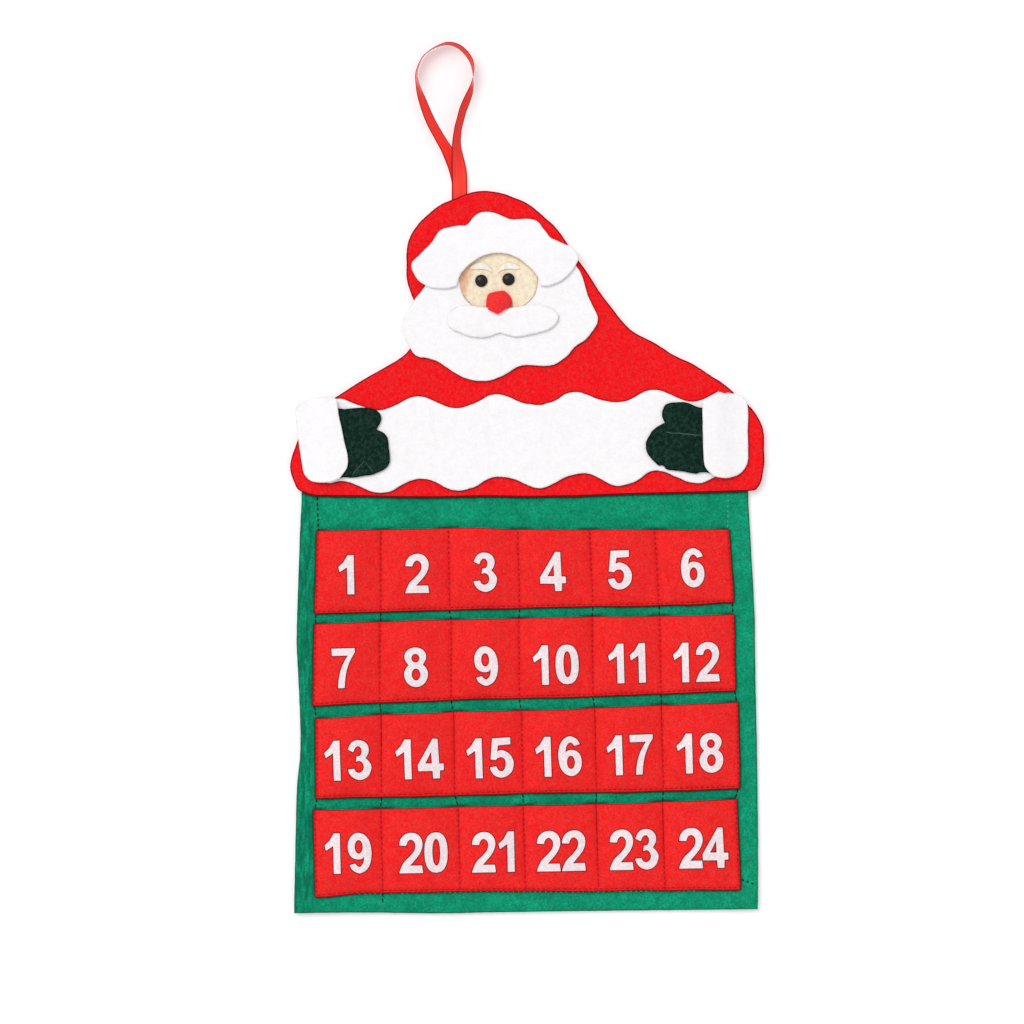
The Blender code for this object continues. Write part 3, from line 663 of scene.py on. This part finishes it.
def rounded(node, name, surface):
    piece = solid_copy(node, name, surface)
    bpy.ops.mesh.dissolve_limited(angle_limit=math.radians(1.5))
    select(piece, "edges", lambda e: e.is_manifold and e.calc_face_angle(0.0) > math.radians(50))
    bpy.ops.mesh.bevel(offset=0.0003, segments=2)
    close()
    modify(piece, "SUBSURF", levels=1, render_levels=1)
    if node == "nose":
        # Its lower half comes down over the moustache, cut to a blunt point
        middle = (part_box(node)[0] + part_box(node)[1]) / 2
        for vertex in piece.data.vertices:
            vertex.co.x = middle.x + (vertex.co.x - middle.x) * 1.05
            across = vertex.co.x - NOSE_POINT[0]
            lowest = NOSE_POINT[1] + abs(across) * (0.48 if across < 0 else 0.66)
            if vertex.co.z < middle.z:
                vertex.co.z = max(middle.z + (vertex.co.z - middle.z) * 2.2, lowest)
            if vertex.co.z < middle.z - 0.0030:
                vertex.co.y = min(vertex.co.y, -0.0093)
    raise_all(piece)
    smooth(piece, 60)
    stand_in(piece, node)
    return piece


rounded("nose", "nose_pad", nose_red)
for side in ("left", "right"):
    rounded("eye_" + side, "eye_bead_" + side, black_bead)

# Pocket rows, repeated from the solids: places are shares of a strip's width and height
FIRST_ROW_Z = -0.3453
ROW_PITCH = 0.0603
STRIP_WIDTH = 0.2770
STRIP_HEIGHT = 0.0550
SIDE_SEAM = 0.0010
BOTTOM_SEAM = 0.0015
POCKET_DEPTH = 0.0050
POCKET_BACK = 0.0023
PANEL_FRONT = 0.00205
CELL = 0.0014
corner_shares = [
    [(0.001, -0.018), (-0.020, 0.0), (-0.002, -0.021), (-0.006, 0.115)],
    [(-0.003, -0.033), (-0.006, 0.086), (-0.006, -0.018), (-0.001, 0.157)],
    [(-0.001, -0.061), (0.001, 0.129), (0.0, -0.027), (0.007, 0.099)],
    [(-0.006, -0.054), (0.0, 0.074), (-0.002, -0.095), (0.007, -0.018)],
]
divider_shares = [
    [0.158, 0.321, 0.488, 0.663, 0.820],
    [0.158, 0.326, 0.487, 0.660, 0.821],
    [0.156, 0.328, 0.488, 0.661, 0.819],
    [0.160, 0.342, 0.496, 0.667, 0.823],
]

# How far the scissors left a straight line, in millimetres up: top and bottom edges from left to right
top_waves = [
    [-0.2, 0.2, 0.7, 1.3, 0.0, -0.2, -0.1, -0.5, -0.3],
    [-0.2, 0.2, 0.6, 0.6, 0.4, 0.4, -0.1, -0.6, -0.5],
    [-0.4, 0.6, 0.7, 0.7, -0.2, -0.5, 0.0, -0.1, 0.0],
    [-0.3, -0.5, -0.5, -0.5, -0.8, -0.8, -0.9, -0.5, 0.0],
]
bottom_waves = [
    [0.2, 0.5, 0.4, 0.6, 0.3, 0.3, -0.3, -0.4, 0.3],
    [0.1, 0.6, 0.7, 1.0, 0.4, -0.2, 0.1, 0.2, 0.6],
    [0.3, 0.3, -0.1, 0.0, 0.2, -0.1, -0.6, -0.5, 0.0],
    [-0.5, 2.0, 1.9, 2.1, 1.6, 0.7, 1.0, 0.6, 0.2],
]
# And to the right: left end and right end, each at its top and bottom
end_shifts = [
    ((0.8, 0.1), (-0.1, -0.7)),
    ((0.2, 0.0), (-0.6, -1.0)),
    ((0.4, 0.3), (0.2, -0.5)),
    ((0.5, 0.5), (-0.6, 0.0)),
]


def wave(heights, share):
    place = min(max(share, 0.0), 0.9999) * (len(heights) - 1)
    i = int(place)
    part = (place - i) ** 2 * (3 - 2 * (place - i))
    return (heights[i] * (1 - part) + heights[i + 1] * part) * MM


def strip_spot(row, u, v):
    # The place on the wall of a share of a strip's width and height
    weights = ((1 - u) * v, u * v, (1 - u) * (1 - v), u * (1 - v))
    shift = [sum(w * corner[i] for w, corner in zip(weights, corner_shares[row])) for i in (0, 1)]
    left, right = [(end[0] * v + end[1] * (1 - v)) * MM for end in end_shifts[row]]
    across = left * (1 - u) ** 6 + right * u ** 6
    up = wave(top_waves[row], u) * v ** 4 + wave(bottom_waves[row], u) * (1 - v) ** 4
    return Vector((CENTRE_X + (u - 0.5 + shift[0]) * STRIP_WIDTH + across, 0.0,
                   FIRST_ROW_Z - row * ROW_PITCH + (v - 0.5 + shift[1]) * STRIP_HEIGHT + up))


def seams_of(row):
    return [SIDE_SEAM / STRIP_WIDTH] + divider_shares[row] + [1 - SIDE_SEAM / STRIP_WIDTH]


def strip_front(row, u, v):
    # How far the strip's front stands off the wall: bulging mouths, sewn grooves and their puckers
    seams = seams_of(row)
    low_seam = BOTTOM_SEAM / STRIP_HEIGHT
    bulge = 0.0
    for left, right in zip(seams, seams[1:]):
        if left < u < right and v > low_seam:
            down = (1 - v) / (1 - low_seam)
            bulge = math.sin(math.pi * (u - left) / (right - left)) * (1 - down ** 3)
    beside = min(abs(u - seam) for seam in seams) * STRIP_WIDTH
    above = abs(v - low_seam) * STRIP_HEIGHT
    groove = 0.00042 * math.exp(-(beside / 0.0010) ** 2) + 0.00042 * math.exp(-(above / 0.0010) ** 2)
    along = v * STRIP_HEIGHT / MM
    across = u * STRIP_WIDTH / MM
    pucker = 0.00020 * math.sin(along * 1.15 + 9 * u) * math.exp(-beside / 0.0035)
    pucker += 0.00018 * math.sin(across * 0.95 + 2 * row) * math.exp(-above / 0.0040)
    dent = noise.noise(Vector((u * 11, row * 3.7, v * 2.3))) * 0.0005 * bulge
    mouth = 0.00035 * math.exp(-((1 - v) * STRIP_HEIGHT / 0.004) ** 2) * math.sin(across * 0.21 + row * 2)
    uneven = pucker + dent + mouth * min(bulge * 2, 1) - groove
    return POCKET_BACK + THIN_FELT + POCKET_DEPTH * bulge + uneven


def pocket_strip(row):
    columns = round(STRIP_WIDTH / CELL)
    rows = round(STRIP_HEIGHT / CELL)
    bpy.ops.object.select_all(action="DESELECT")
    bpy.ops.mesh.primitive_grid_add(x_subdivisions=columns, y_subdivisions=rows, size=1.0,
                                    rotation=(math.radians(90), 0, 0))
    piece = bpy.context.object
    piece.name = f"pocket_strip_{row + 1}_felt"
    bpy.ops.object.transform_apply(location=True, rotation=True, scale=True)
    # The seam attribute carries painted shade along the seams' grooves; cut_edge marks the strip's darker
    # edge
    seam_shade_map = piece.data.attributes.new("seam", "FLOAT", "POINT")
    edge_map = piece.data.attributes.new("cut_edge", "FLOAT", "POINT")
    low_seam = BOTTOM_SEAM / STRIP_HEIGHT
    for vertex, mark, cut in zip(piece.data.vertices, seam_shade_map.data, edge_map.data):
        u, v = vertex.co.x + 0.5, vertex.co.z + 0.5
        spot = strip_spot(row, u, v)
        edge = min(u, 1 - u, v, 1 - v) < 0.0001
        cut.value = 1.0 if edge else 0.0
        wobble = noise.noise_vector(spot * 500) * 0.00014 + noise.noise_vector(spot * 60) * 0.0003
        spot += Vector((wobble.x, 0, wobble.z)) * (1.0 if edge else 0.5)
        spot.y = -strip_front(row, u, v)
        vertex.co = spot
        beside = min(abs(u - seam) for seam in seams_of(row)) * STRIP_WIDTH
        above = abs(v - low_seam) * STRIP_HEIGHT
        mark.value = max(math.exp(-(beside / 0.0012) ** 2), math.exp(-(above / 0.0012) ** 2))
    piece.data.materials.append(pocket_red)
    piece.data.materials.append(pocket_rim)
    edit_all(piece)
    bpy.ops.mesh.normals_make_consistent(inside=False)
    close()
    if piece.data.polygons[0].normal.y > 0:
        piece.data.flip_normals()
    modify(piece, "SOLIDIFY", thickness=THIN_FELT, offset=-1.0, material_offset_rim=1)
    for vertex in piece.data.vertices:
        vertex.co.y = min(vertex.co.y, -PANEL_FRONT)
    modify(piece, "BEVEL", width=0.0003, segments=2, limit_method="ANGLE", angle_limit=math.radians(55),
           material=1)
    raise_all(piece)
    smooth(piece, 40)
    stand_in(piece, f"pocket_strip_{row + 1}")
    return piece


strips = [pocket_strip(row) for row in range(4)]


# Numerals: outlines as shares of a digit's own width and height, from its lower left corner
def curved(*points, steps=4):
    # Smooth run through the points
    found = []
    last = len(points) - 1
    for i in range(last):
        four = [Vector(points[min(max(i + k, 0), last)]) for k in (-1, 0, 1, 2)]
        for step in range(steps):
            t = step / steps
            found.append(0.5 * (2 * four[1] + (four[2] - four[0]) * t
                                + (2 * four[0] - 5 * four[1] + 4 * four[2] - four[3]) * t ** 2
                                + (3 * four[1] - four[0] - 3 * four[2] + four[3]) * t ** 3))
    return found + [Vector(points[last])]


def straight(*points):
    return [Vector(point) for point in points]


def rounded_hole(centre, half, power=1.0):
    found = []
    for i in range(20):
        angle = math.radians(18 * i)
        c, s = math.cos(angle), math.sin(angle)
        found.append(Vector((centre[0] + half[0] * math.copysign(abs(c) ** power, c),
                             centre[1] + half[1] * math.copysign(abs(s) ** power, s))))
    return found


six = [
    curved((0.936, 0.79), (0.82, 0.914), (0.534, 1.0), (0.267, 0.94), (0.09, 0.806), (0.0, 0.58),
           (0.018, 0.366),
           (0.096, 0.194), (0.267, 0.065), (0.516, 0.0), (0.765, 0.039), (0.943, 0.172), (1.0, 0.344),
           (0.943, 0.516), (0.783, 0.62), (0.552, 0.656), (0.39, 0.634), (0.313, 0.58))
    + curved((0.313, 0.58), (0.338, 0.72), (0.463, 0.828), (0.587, 0.828), (0.694, 0.753)),
    rounded_hole((0.534, 0.344), (0.17, 0.168)),
]
digits = {
    "0": (0.0152, [rounded_hole((0.5, 0.5), (0.5, 0.5), 0.82),
                   rounded_hole((0.51, 0.505), (0.167, 0.33), 0.9)]),
    "1": (0.0102, [straight((0.61, 1), (1, 1), (1, 0), (0.56, 0), (0.56, 0.69), (0.08, 0.57), (0, 0.70),
                            (0.33, 0.82))]),
    "2": (0.0156, [
        curved((0.02, 0.69), (0.07, 0.83), (0.24, 0.95), (0.50, 1), (0.76, 0.97), (0.94, 0.86), (1, 0.71),
               (0.94, 0.56), (0.80, 0.42), (0.46, 0.19))
        + straight((0.96, 0.19), (1, 0))
        + curved((0, 0), (0.06, 0.11), (0.20, 0.27), (0.46, 0.42), (0.65, 0.56), (0.70, 0.69), (0.65, 0.78),
                 (0.52, 0.83), (0.39, 0.79), (0.31, 0.68))]),
    "3": (0.0153, [
        curved((0.02, 0.77), (0.11, 0.89), (0.25, 0.97), (0.45, 1), (0.69, 0.97), (0.85, 0.88),
               (0.91, 0.76), (0.87, 0.64), (0.76, 0.545))
        + curved((0.76, 0.545), (0.91, 0.45), (1, 0.33), (0.96, 0.20), (0.84, 0.08), (0.65, 0.015),
                 (0.45, 0), (0.22, 0.055), (0.055, 0.165), (0, 0.275))
        + curved((0.27, 0.285), (0.335, 0.21), (0.47, 0.18), (0.62, 0.23), (0.67, 0.33), (0.62, 0.43),
                 (0.49, 0.477), (0.345, 0.46))
        + curved((0.38, 0.593), (0.51, 0.604), (0.59, 0.67), (0.60, 0.76), (0.53, 0.83), (0.42, 0.846),
                 (0.32, 0.795), (0.247, 0.70))]),
    "4": (0.0169, [
        straight((0.60, 1), (0.795, 0.99), (0.83, 0.37), (1, 0.365), (1, 0.20), (0.85, 0.198), (0.84, 0),
                 (0.58, 0), (0.565, 0.19), (0.007, 0.195), (0, 0.35)),
        straight((0.53, 0.674), (0.548, 0.382), (0.29, 0.382))]),
    "5": (0.0156, [
        straight((0.126, 0.99), (0.885, 1), (0.885, 0.827), (0.36, 0.81))
        + curved((0.325, 0.656), (0.505, 0.69), (0.776, 0.618), (0.95, 0.483), (1, 0.337), (0.928, 0.157),
                 (0.704, 0.034), (0.45, 0), (0.20, 0.052), (0.054, 0.157), (0, 0.265))
        + curved((0.27, 0.288), (0.343, 0.20), (0.47, 0.157), (0.596, 0.20), (0.668, 0.337), (0.625, 0.46),
                 (0.487, 0.512), (0.343, 0.494), (0.253, 0.445))
        + straight((0.036, 0.467))]),
    "6": (0.0152, six),
    "7": (0.0153, [
        straight((0, 1), (0.99, 1))
        + curved((1, 0.90), (0.80, 0.705), (0.64, 0.477), (0.55, 0.227), (0.513, 0))
        + curved((0.235, 0), (0.267, 0.205), (0.368, 0.455), (0.513, 0.648), (0.693, 0.818))
        + straight((0.007, 0.818))]),
    "8": (0.0157, [
        curved((0.206, 0.56), (0.064, 0.69), (0.064, 0.84), (0.23, 0.957), (0.50, 1), (0.76, 0.957),
               (0.93, 0.84), (0.93, 0.70), (0.80, 0.563))
        + curved((0.80, 0.563), (0.957, 0.45), (1, 0.30), (0.904, 0.13), (0.71, 0.03), (0.50, 0),
                 (0.266, 0.04), (0.09, 0.15), (0.007, 0.31), (0.064, 0.45), (0.206, 0.56))[:-1],
        rounded_hole((0.50, 0.73), (0.165, 0.108)), rounded_hole((0.504, 0.318), (0.18, 0.15))]),
    "9": (0.0154, [[Vector((1, 1)) - point for point in loop] for loop in six]),
}
digit_heights = [0.0257, 0.0260, 0.0262, 0.0266]
# Gap between two digits, in millimetres
digit_gaps = {
    "1": {"0": 4.6, "1": 3.9, "2": 4.4, "3": 5.0, "4": 4.2, "5": 4.9, "6": 4.8, "7": 5.0, "8": 4.4,
          "9": 5.0},
    "2": {"0": 1.1, "1": 2.1, "2": 0.8, "3": 1.2, "4": -0.2},
}
PRINT_RIM = 0.00055
PRINT_FLATNESS = 0.30
row_tilts = [0.88, 1.67, 1.80, 1.17]
# How far each numeral was printed off the middle of its pocket, in millimetres: across and up
off_middle = [
    (-1.6, -2.0), (1.4, -1.8), (1.0, -1.7), (-1.5, -1.9), (-3.0, -1.5), (-0.8, -0.8),
    (-2.2, -2.8), (0.2, -3.5), (0.7, -4.0), (0.0, -4.5), (0.3, -4.9), (-0.6, -5.5),
    (-0.6, -1.8), (1.3, -2.3), (1.3, -3.1), (-0.2, -3.5), (0.6, -3.9), (-0.3, -4.2),
    (-0.2, -0.4), (2.0, -1.0), (0.8, -1.5), (0.0, -1.6), (2.1, -1.6), (1.8, -1.5),
]


def settle(piece, onto, proud):
    # Lays a flat piece on the front of another, point by point
    for vertex in piece.data.vertices:
        start = Vector((vertex.co.x, -0.1, vertex.co.z))
        hit, spot, _, _ = onto.ray_cast(start, Vector((0, 1, 0)))
        if hit:
            vertex.co.y += spot.y - proud


def numeral(number):
    row, place = divmod(number - 1, 6)
    seams = seams_of(row)
    middle = strip_spot(row, (seams[place] + seams[place + 1]) / 2, 0.5)
    shift = off_middle[number - 1]
    figures = str(number)
    height = digit_heights[row]
    gaps = [digit_gaps[first][second] * MM for first, second in zip(figures, figures[1:])]
    width = sum(digits[figure][0] for figure in figures) + sum(gaps)
    lines = bpy.data.curves.new(f"numeral_{number}", "CURVE")
    lines.dimensions = "2D"
    lines.fill_mode = "BOTH"
    lines.bevel_depth = PRINT_RIM
    lines.bevel_resolution = 1
    left = -width / 2
    for figure, gap in zip(figures, gaps + [0.0]):
        figure_width, loops = digits[figure]
        for loop in loops:
            points = []
            for spot in loop:
                point = (left + spot.x * figure_width, (spot.y - 0.5) * height)
                if not points or (Vector(point) - Vector(points[-1])).length > 0.00005:
                    points.append(point)
            line = lines.splines.new("POLY")
            line.points.add(len(points) - 1)
            for point, (x, z) in zip(line.points, points):
                point.co = (x, z, 0, 1)
            line.use_cyclic_u = True
        left += figure_width + gap
    only(linked(f"numeral_{number}", lines))
    bpy.ops.object.convert(target="MESH")
    piece = bpy.context.object
    for vertex in piece.data.vertices:
        vertex.co.z *= PRINT_FLATNESS
    edit_all(piece)
    bpy.ops.mesh.remove_doubles(threshold=0.00001)
    bpy.ops.mesh.normals_make_consistent(inside=False)
    close()
    upright = Matrix.Rotation(math.radians(90), 4, "X")
    turn = Matrix.Rotation(math.radians(-row_tilts[row]), 4, "Y") @ upright
    place_at = middle + Vector((shift[0] * MM, 0, shift[1] * MM))
    piece.data.transform(Matrix.Translation(place_at) @ turn)
    edit_all(piece)
    grid_cuts(piece, 0.003)
    close()
    piece.data.materials.append(print_white)
    piece.data.materials.append(print_rim)
    for facet in piece.data.polygons:
        facet.material_index = 0 if facet.normal.y < -0.995 else 1
    settle(piece, strips[row], 0.00002)
    smooth(piece, 30)
    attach(piece, CALENDAR)


for number in range(1, 25):
    numeral(number)

# Seams: rows of short stitches laid on whatever is in front
STITCH_PITCH = 0.0034
STITCH_PROUD = 0.00005


def seam(name, start, end, onto, thread, length=0.0020, width=0.0007, behind=False):
    way = Vector((end.x - start.x, 0, end.z - start.z))
    bpy.ops.object.select_all(action="DESELECT")
    bpy.ops.mesh.primitive_uv_sphere_add(segments=8, ring_count=5, radius=1,
                                         rotation=(0, math.radians(90), 0))
    piece = bpy.context.object
    piece.name = name
    bpy.ops.object.transform_apply(location=True, rotation=True, scale=True)
    edit_all(piece)
    bpy.ops.transform.resize(value=(length / 2, width / 3, width / 2), center_override=(0, 0, 0))
    close()
    modify(piece, "ARRAY", count=max(2, round(way.length / STITCH_PITCH)), use_relative_offset=False,
           use_constant_offset=True, constant_offset_displace=(STITCH_PITCH, 0, 0))
    shifts = {}
    for vertex in piece.data.vertices:
        place = round(vertex.co.x / STITCH_PITCH)
        if place not in shifts:
            shifts[place] = (random.uniform(-1, 1), random.uniform(-1, 1), random.uniform(0.8, 1.15))
        along, aside, size = shifts[place]
        middle = place * STITCH_PITCH
        vertex.co.x = middle + (vertex.co.x - middle) * size + along * 0.00020
        vertex.co.z += aside * 0.00012 + (vertex.co.x - middle) * aside * 0.08
    turn = way.to_track_quat("X", "Z").to_matrix().to_4x4()
    piece.data.transform(Matrix.Translation(start + way.normalized() * STITCH_PITCH / 2) @ turn)
    lay_on(piece, onto, behind)
    piece.data.materials.append(thread)
    only(piece)
    bpy.ops.object.shade_smooth()
    return piece


def lay_on(piece, onto, behind):
    # Moves each point out to the frontmost of the pieces below it, or to the back of them
    way = -1 if behind else 1
    for vertex in piece.data.vertices:
        found = []
        for below in onto:
            hit, spot, _, _ = below.ray_cast(Vector((vertex.co.x, -0.1 * way, vertex.co.z)),
                                             Vector((0, way, 0)))
            if hit:
                found.append(spot.y * way)
        vertex.co.y += (min(found, default=-0.002 * way) - STITCH_PROUD) * way


def joined(pieces, name):
    only(pieces[0])
    for piece in pieces:
        piece.select_set(True)
    bpy.ops.object.join()
    pieces[0].name = name
    return pieces[0]


def seam_lines(row):
    # The bottom seam, pocket by pocket, and the upright seams at both ends and at the dividers
    low = BOTTOM_SEAM / STRIP_HEIGHT
    sides = seams_of(row)
    lines = [(strip_spot(row, left, low), strip_spot(row, right, low))
             for left, right in zip(sides, sides[1:])]
    return lines + [(strip_spot(row, u, 0.985), strip_spot(row, u, 0.02)) for u in sides]


def row_seams(row):
    name = f"row_{row + 1}"
    made = [seam(name, start, end, [strips[row]], red_thread) for start, end in seam_lines(row)]
    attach(joined(made, f"stitches_{name}"), CALENDAR)
    made = [seam(name, start, end, [panel], green_thread, behind=True) for start, end in seam_lines(row)]
    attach(joined(made, f"stitches_behind_{name}"), CALENDAR)
    # The upright seams run on over the green to the next row
    runs = []
    for i, u in enumerate(seams_of(row)):
        upper = strip_spot(row, u, 0.0)
        if row < 3:
            lower = strip_spot(row + 1, seams_of(row + 1)[i], 1.0)
        elif i == 1:
            lower = upper - Vector((0, 0, 0.008))
        else:
            continue
        runs.append(seam("run_on", upper, lower, [panel], green_thread, length=0.0029, width=0.0009))
    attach(joined(runs, f"stitches_below_{name}"), CALENDAR)


for row in range(4):
    row_seams(row)

# Above row 1 both end seams run on to the robe; below row 4 the bottom seam runs out to the panel's edge
top_left, top_right = strip_spot(0, 0.004, 1.0), strip_spot(0, 0.996, 1.0)
low_right = strip_spot(3, 1.0, 0.12)
loose_ends = [
    seam("upper_left", Vector((-0.0850, 0, -0.2900)), top_left, [panel], green_thread, length=0.0024,
         width=0.0010),
    seam("upper_right", Vector((0.1846, 0, -0.2945)), top_right, [panel], pale_thread, length=0.0014),
    seam("lower_right", low_right, Vector((0.2030, 0, -0.5512)), [panel], green_thread, length=0.0022,
         width=0.0009),
]
for left, right in zip(range(1, 9), range(2, 10)):
    ends = [strip_spot(3, share / 10, 0.0) - Vector((0, 0, 0.0004)) for share in (left, right)]
    loose_ends.append(seam("below_row_4", *ends, [panel], pale_thread, length=0.0013))
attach(joined(loose_ends, "loose_stitches"), CALENDAR)


# Ribbon: from one end behind the hat, up around the loop and down to the other end.
# Across as a share of the loop's width, down as a share of its length, twist as a share of a quarter turn
RIBBON_WIDTH = 0.0100
RIBBON_PLY = 0.00025
PLY_OFFSET = 0.000275
RIBBON_GAP = 0.0003
LOOP_WIDTH = 0.0385
LOOP_LENGTH = 0.0963
TAIL_LENGTH = 0.0283
TAIL_STEPS = 14
RIBBON_COLUMNS = 8
FOLD = Vector((0.008624, -0.0016, -0.0963))
loop_shares = [
    (0.218, 1.000, 0.00), (0.212, 0.929, 0.02), (0.143, 0.833, 0.22), (0.008, 0.724, 0.46),
    (-0.113, 0.643, 0.54), (-0.280, 0.520, 0.58), (-0.412, 0.384, 0.67), (-0.488, 0.282, 0.84),
    (-0.509, 0.201, 0.94), (-0.439, 0.119, 0.99), (-0.361, 0.075, 1.02), (-0.196, 0.028, 1.01),
    (0.010, 0.002, 0.93), (0.190, 0.018, 0.88), (0.322, 0.060, 0.85), (0.415, 0.114, 0.85),
    (0.449, 0.162, 0.89), (0.457, 0.210, 0.96), (0.450, 0.250, 1.05), (0.432, 0.292, 1.14),
    (0.398, 0.336, 1.23), (0.343, 0.390, 1.29), (0.281, 0.452, 1.30), (0.235, 0.520, 1.30),
    (0.196, 0.582, 1.31), (0.172, 0.670, 1.36), (0.179, 0.738, 1.47), (0.201, 0.820, 1.70),
    (0.219, 0.901, 1.95), (0.224, 1.000, 2.00),
]


def ribbon_stations():
    # Middle of the ribbon, its width direction and its front at each step
    route = curved(*loop_shares, steps=8)
    flat = [Vector((LOOP_WIDTH * across, 0, -LOOP_LENGTH * down)) for across, down, _ in route]
    stations = []
    last = len(route) - 1
    for i, (_, _, twist) in enumerate(route):
        along = Vector((0, 0, 1 if i == 0 else -1))
        if 0 < i < last:
            along = (flat[i + 1] - flat[i - 1]).normalized()
        beside = Vector((along.z, 0, -along.x))
        angle = twist * math.radians(90)
        turn = math.sin(angle) if 0 < i < last else 0.0
        ply = -FOLD.y + (PLY_OFFSET if i > last / 2 else -PLY_OFFSET)
        depth = ply * (1 - turn) + (RIBBON_WIDTH / 2 + RIBBON_GAP) * turn
        across = (beside * math.cos(angle) + Vector((0, turn, 0))).normalized()
        stations.append((flat[i] - Vector((0, depth, 0)), across))
    for side in (0, -1):
        place, across = stations[side]
        tail = [(place - Vector((0, 0, TAIL_LENGTH * k / TAIL_STEPS)), across)
                for k in range(1, TAIL_STEPS + 1)]
        stations = tail[::-1] + stations if side == 0 else stations + tail
    return stations


def ribbon():
    stations = ribbon_stations()
    last = len(stations) - 1
    bpy.ops.object.select_all(action="DESELECT")
    bpy.ops.mesh.primitive_grid_add(x_subdivisions=RIBBON_COLUMNS, y_subdivisions=last, size=1.0)
    piece = bpy.context.object
    piece.name = "ribbon"
    lengths = [0.0]
    for (before, _), (after, _) in zip(stations, stations[1:]):
        lengths.append(lengths[-1] + (after - before).length)
    spots = [(vertex.co.x + 0.5, round((vertex.co.y + 0.5) * last)) for vertex in piece.data.vertices]
    piece.data.uv_layers.remove(piece.data.uv_layers[0])
    layer = piece.data.uv_layers.new(name="ribbon")
    for corner in piece.data.loops:
        share, i = spots[corner.vertex_index]
        layer.data[corner.index].uv = (share, lengths[i])
    for vertex, (share, i) in zip(piece.data.vertices, spots):
        place, across = stations[i]
        vertex.co = place + across * (share - 0.5) * RIBBON_WIDTH
    piece.data.materials.append(red_satin)
    modify(piece, "SOLIDIFY", thickness=RIBBON_PLY, offset=0.0)
    for vertex in piece.data.vertices:
        if vertex.co.z < FOLD.z + 0.02:
            vertex.co.y -= lift(vertex.co) * min(1.0, (FOLD.z + 0.02 - vertex.co.z) / 0.02)
    smooth(piece, 50)
    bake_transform(piece)
    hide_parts("ribbon_loop", "ribbon_tails")


ribbon()
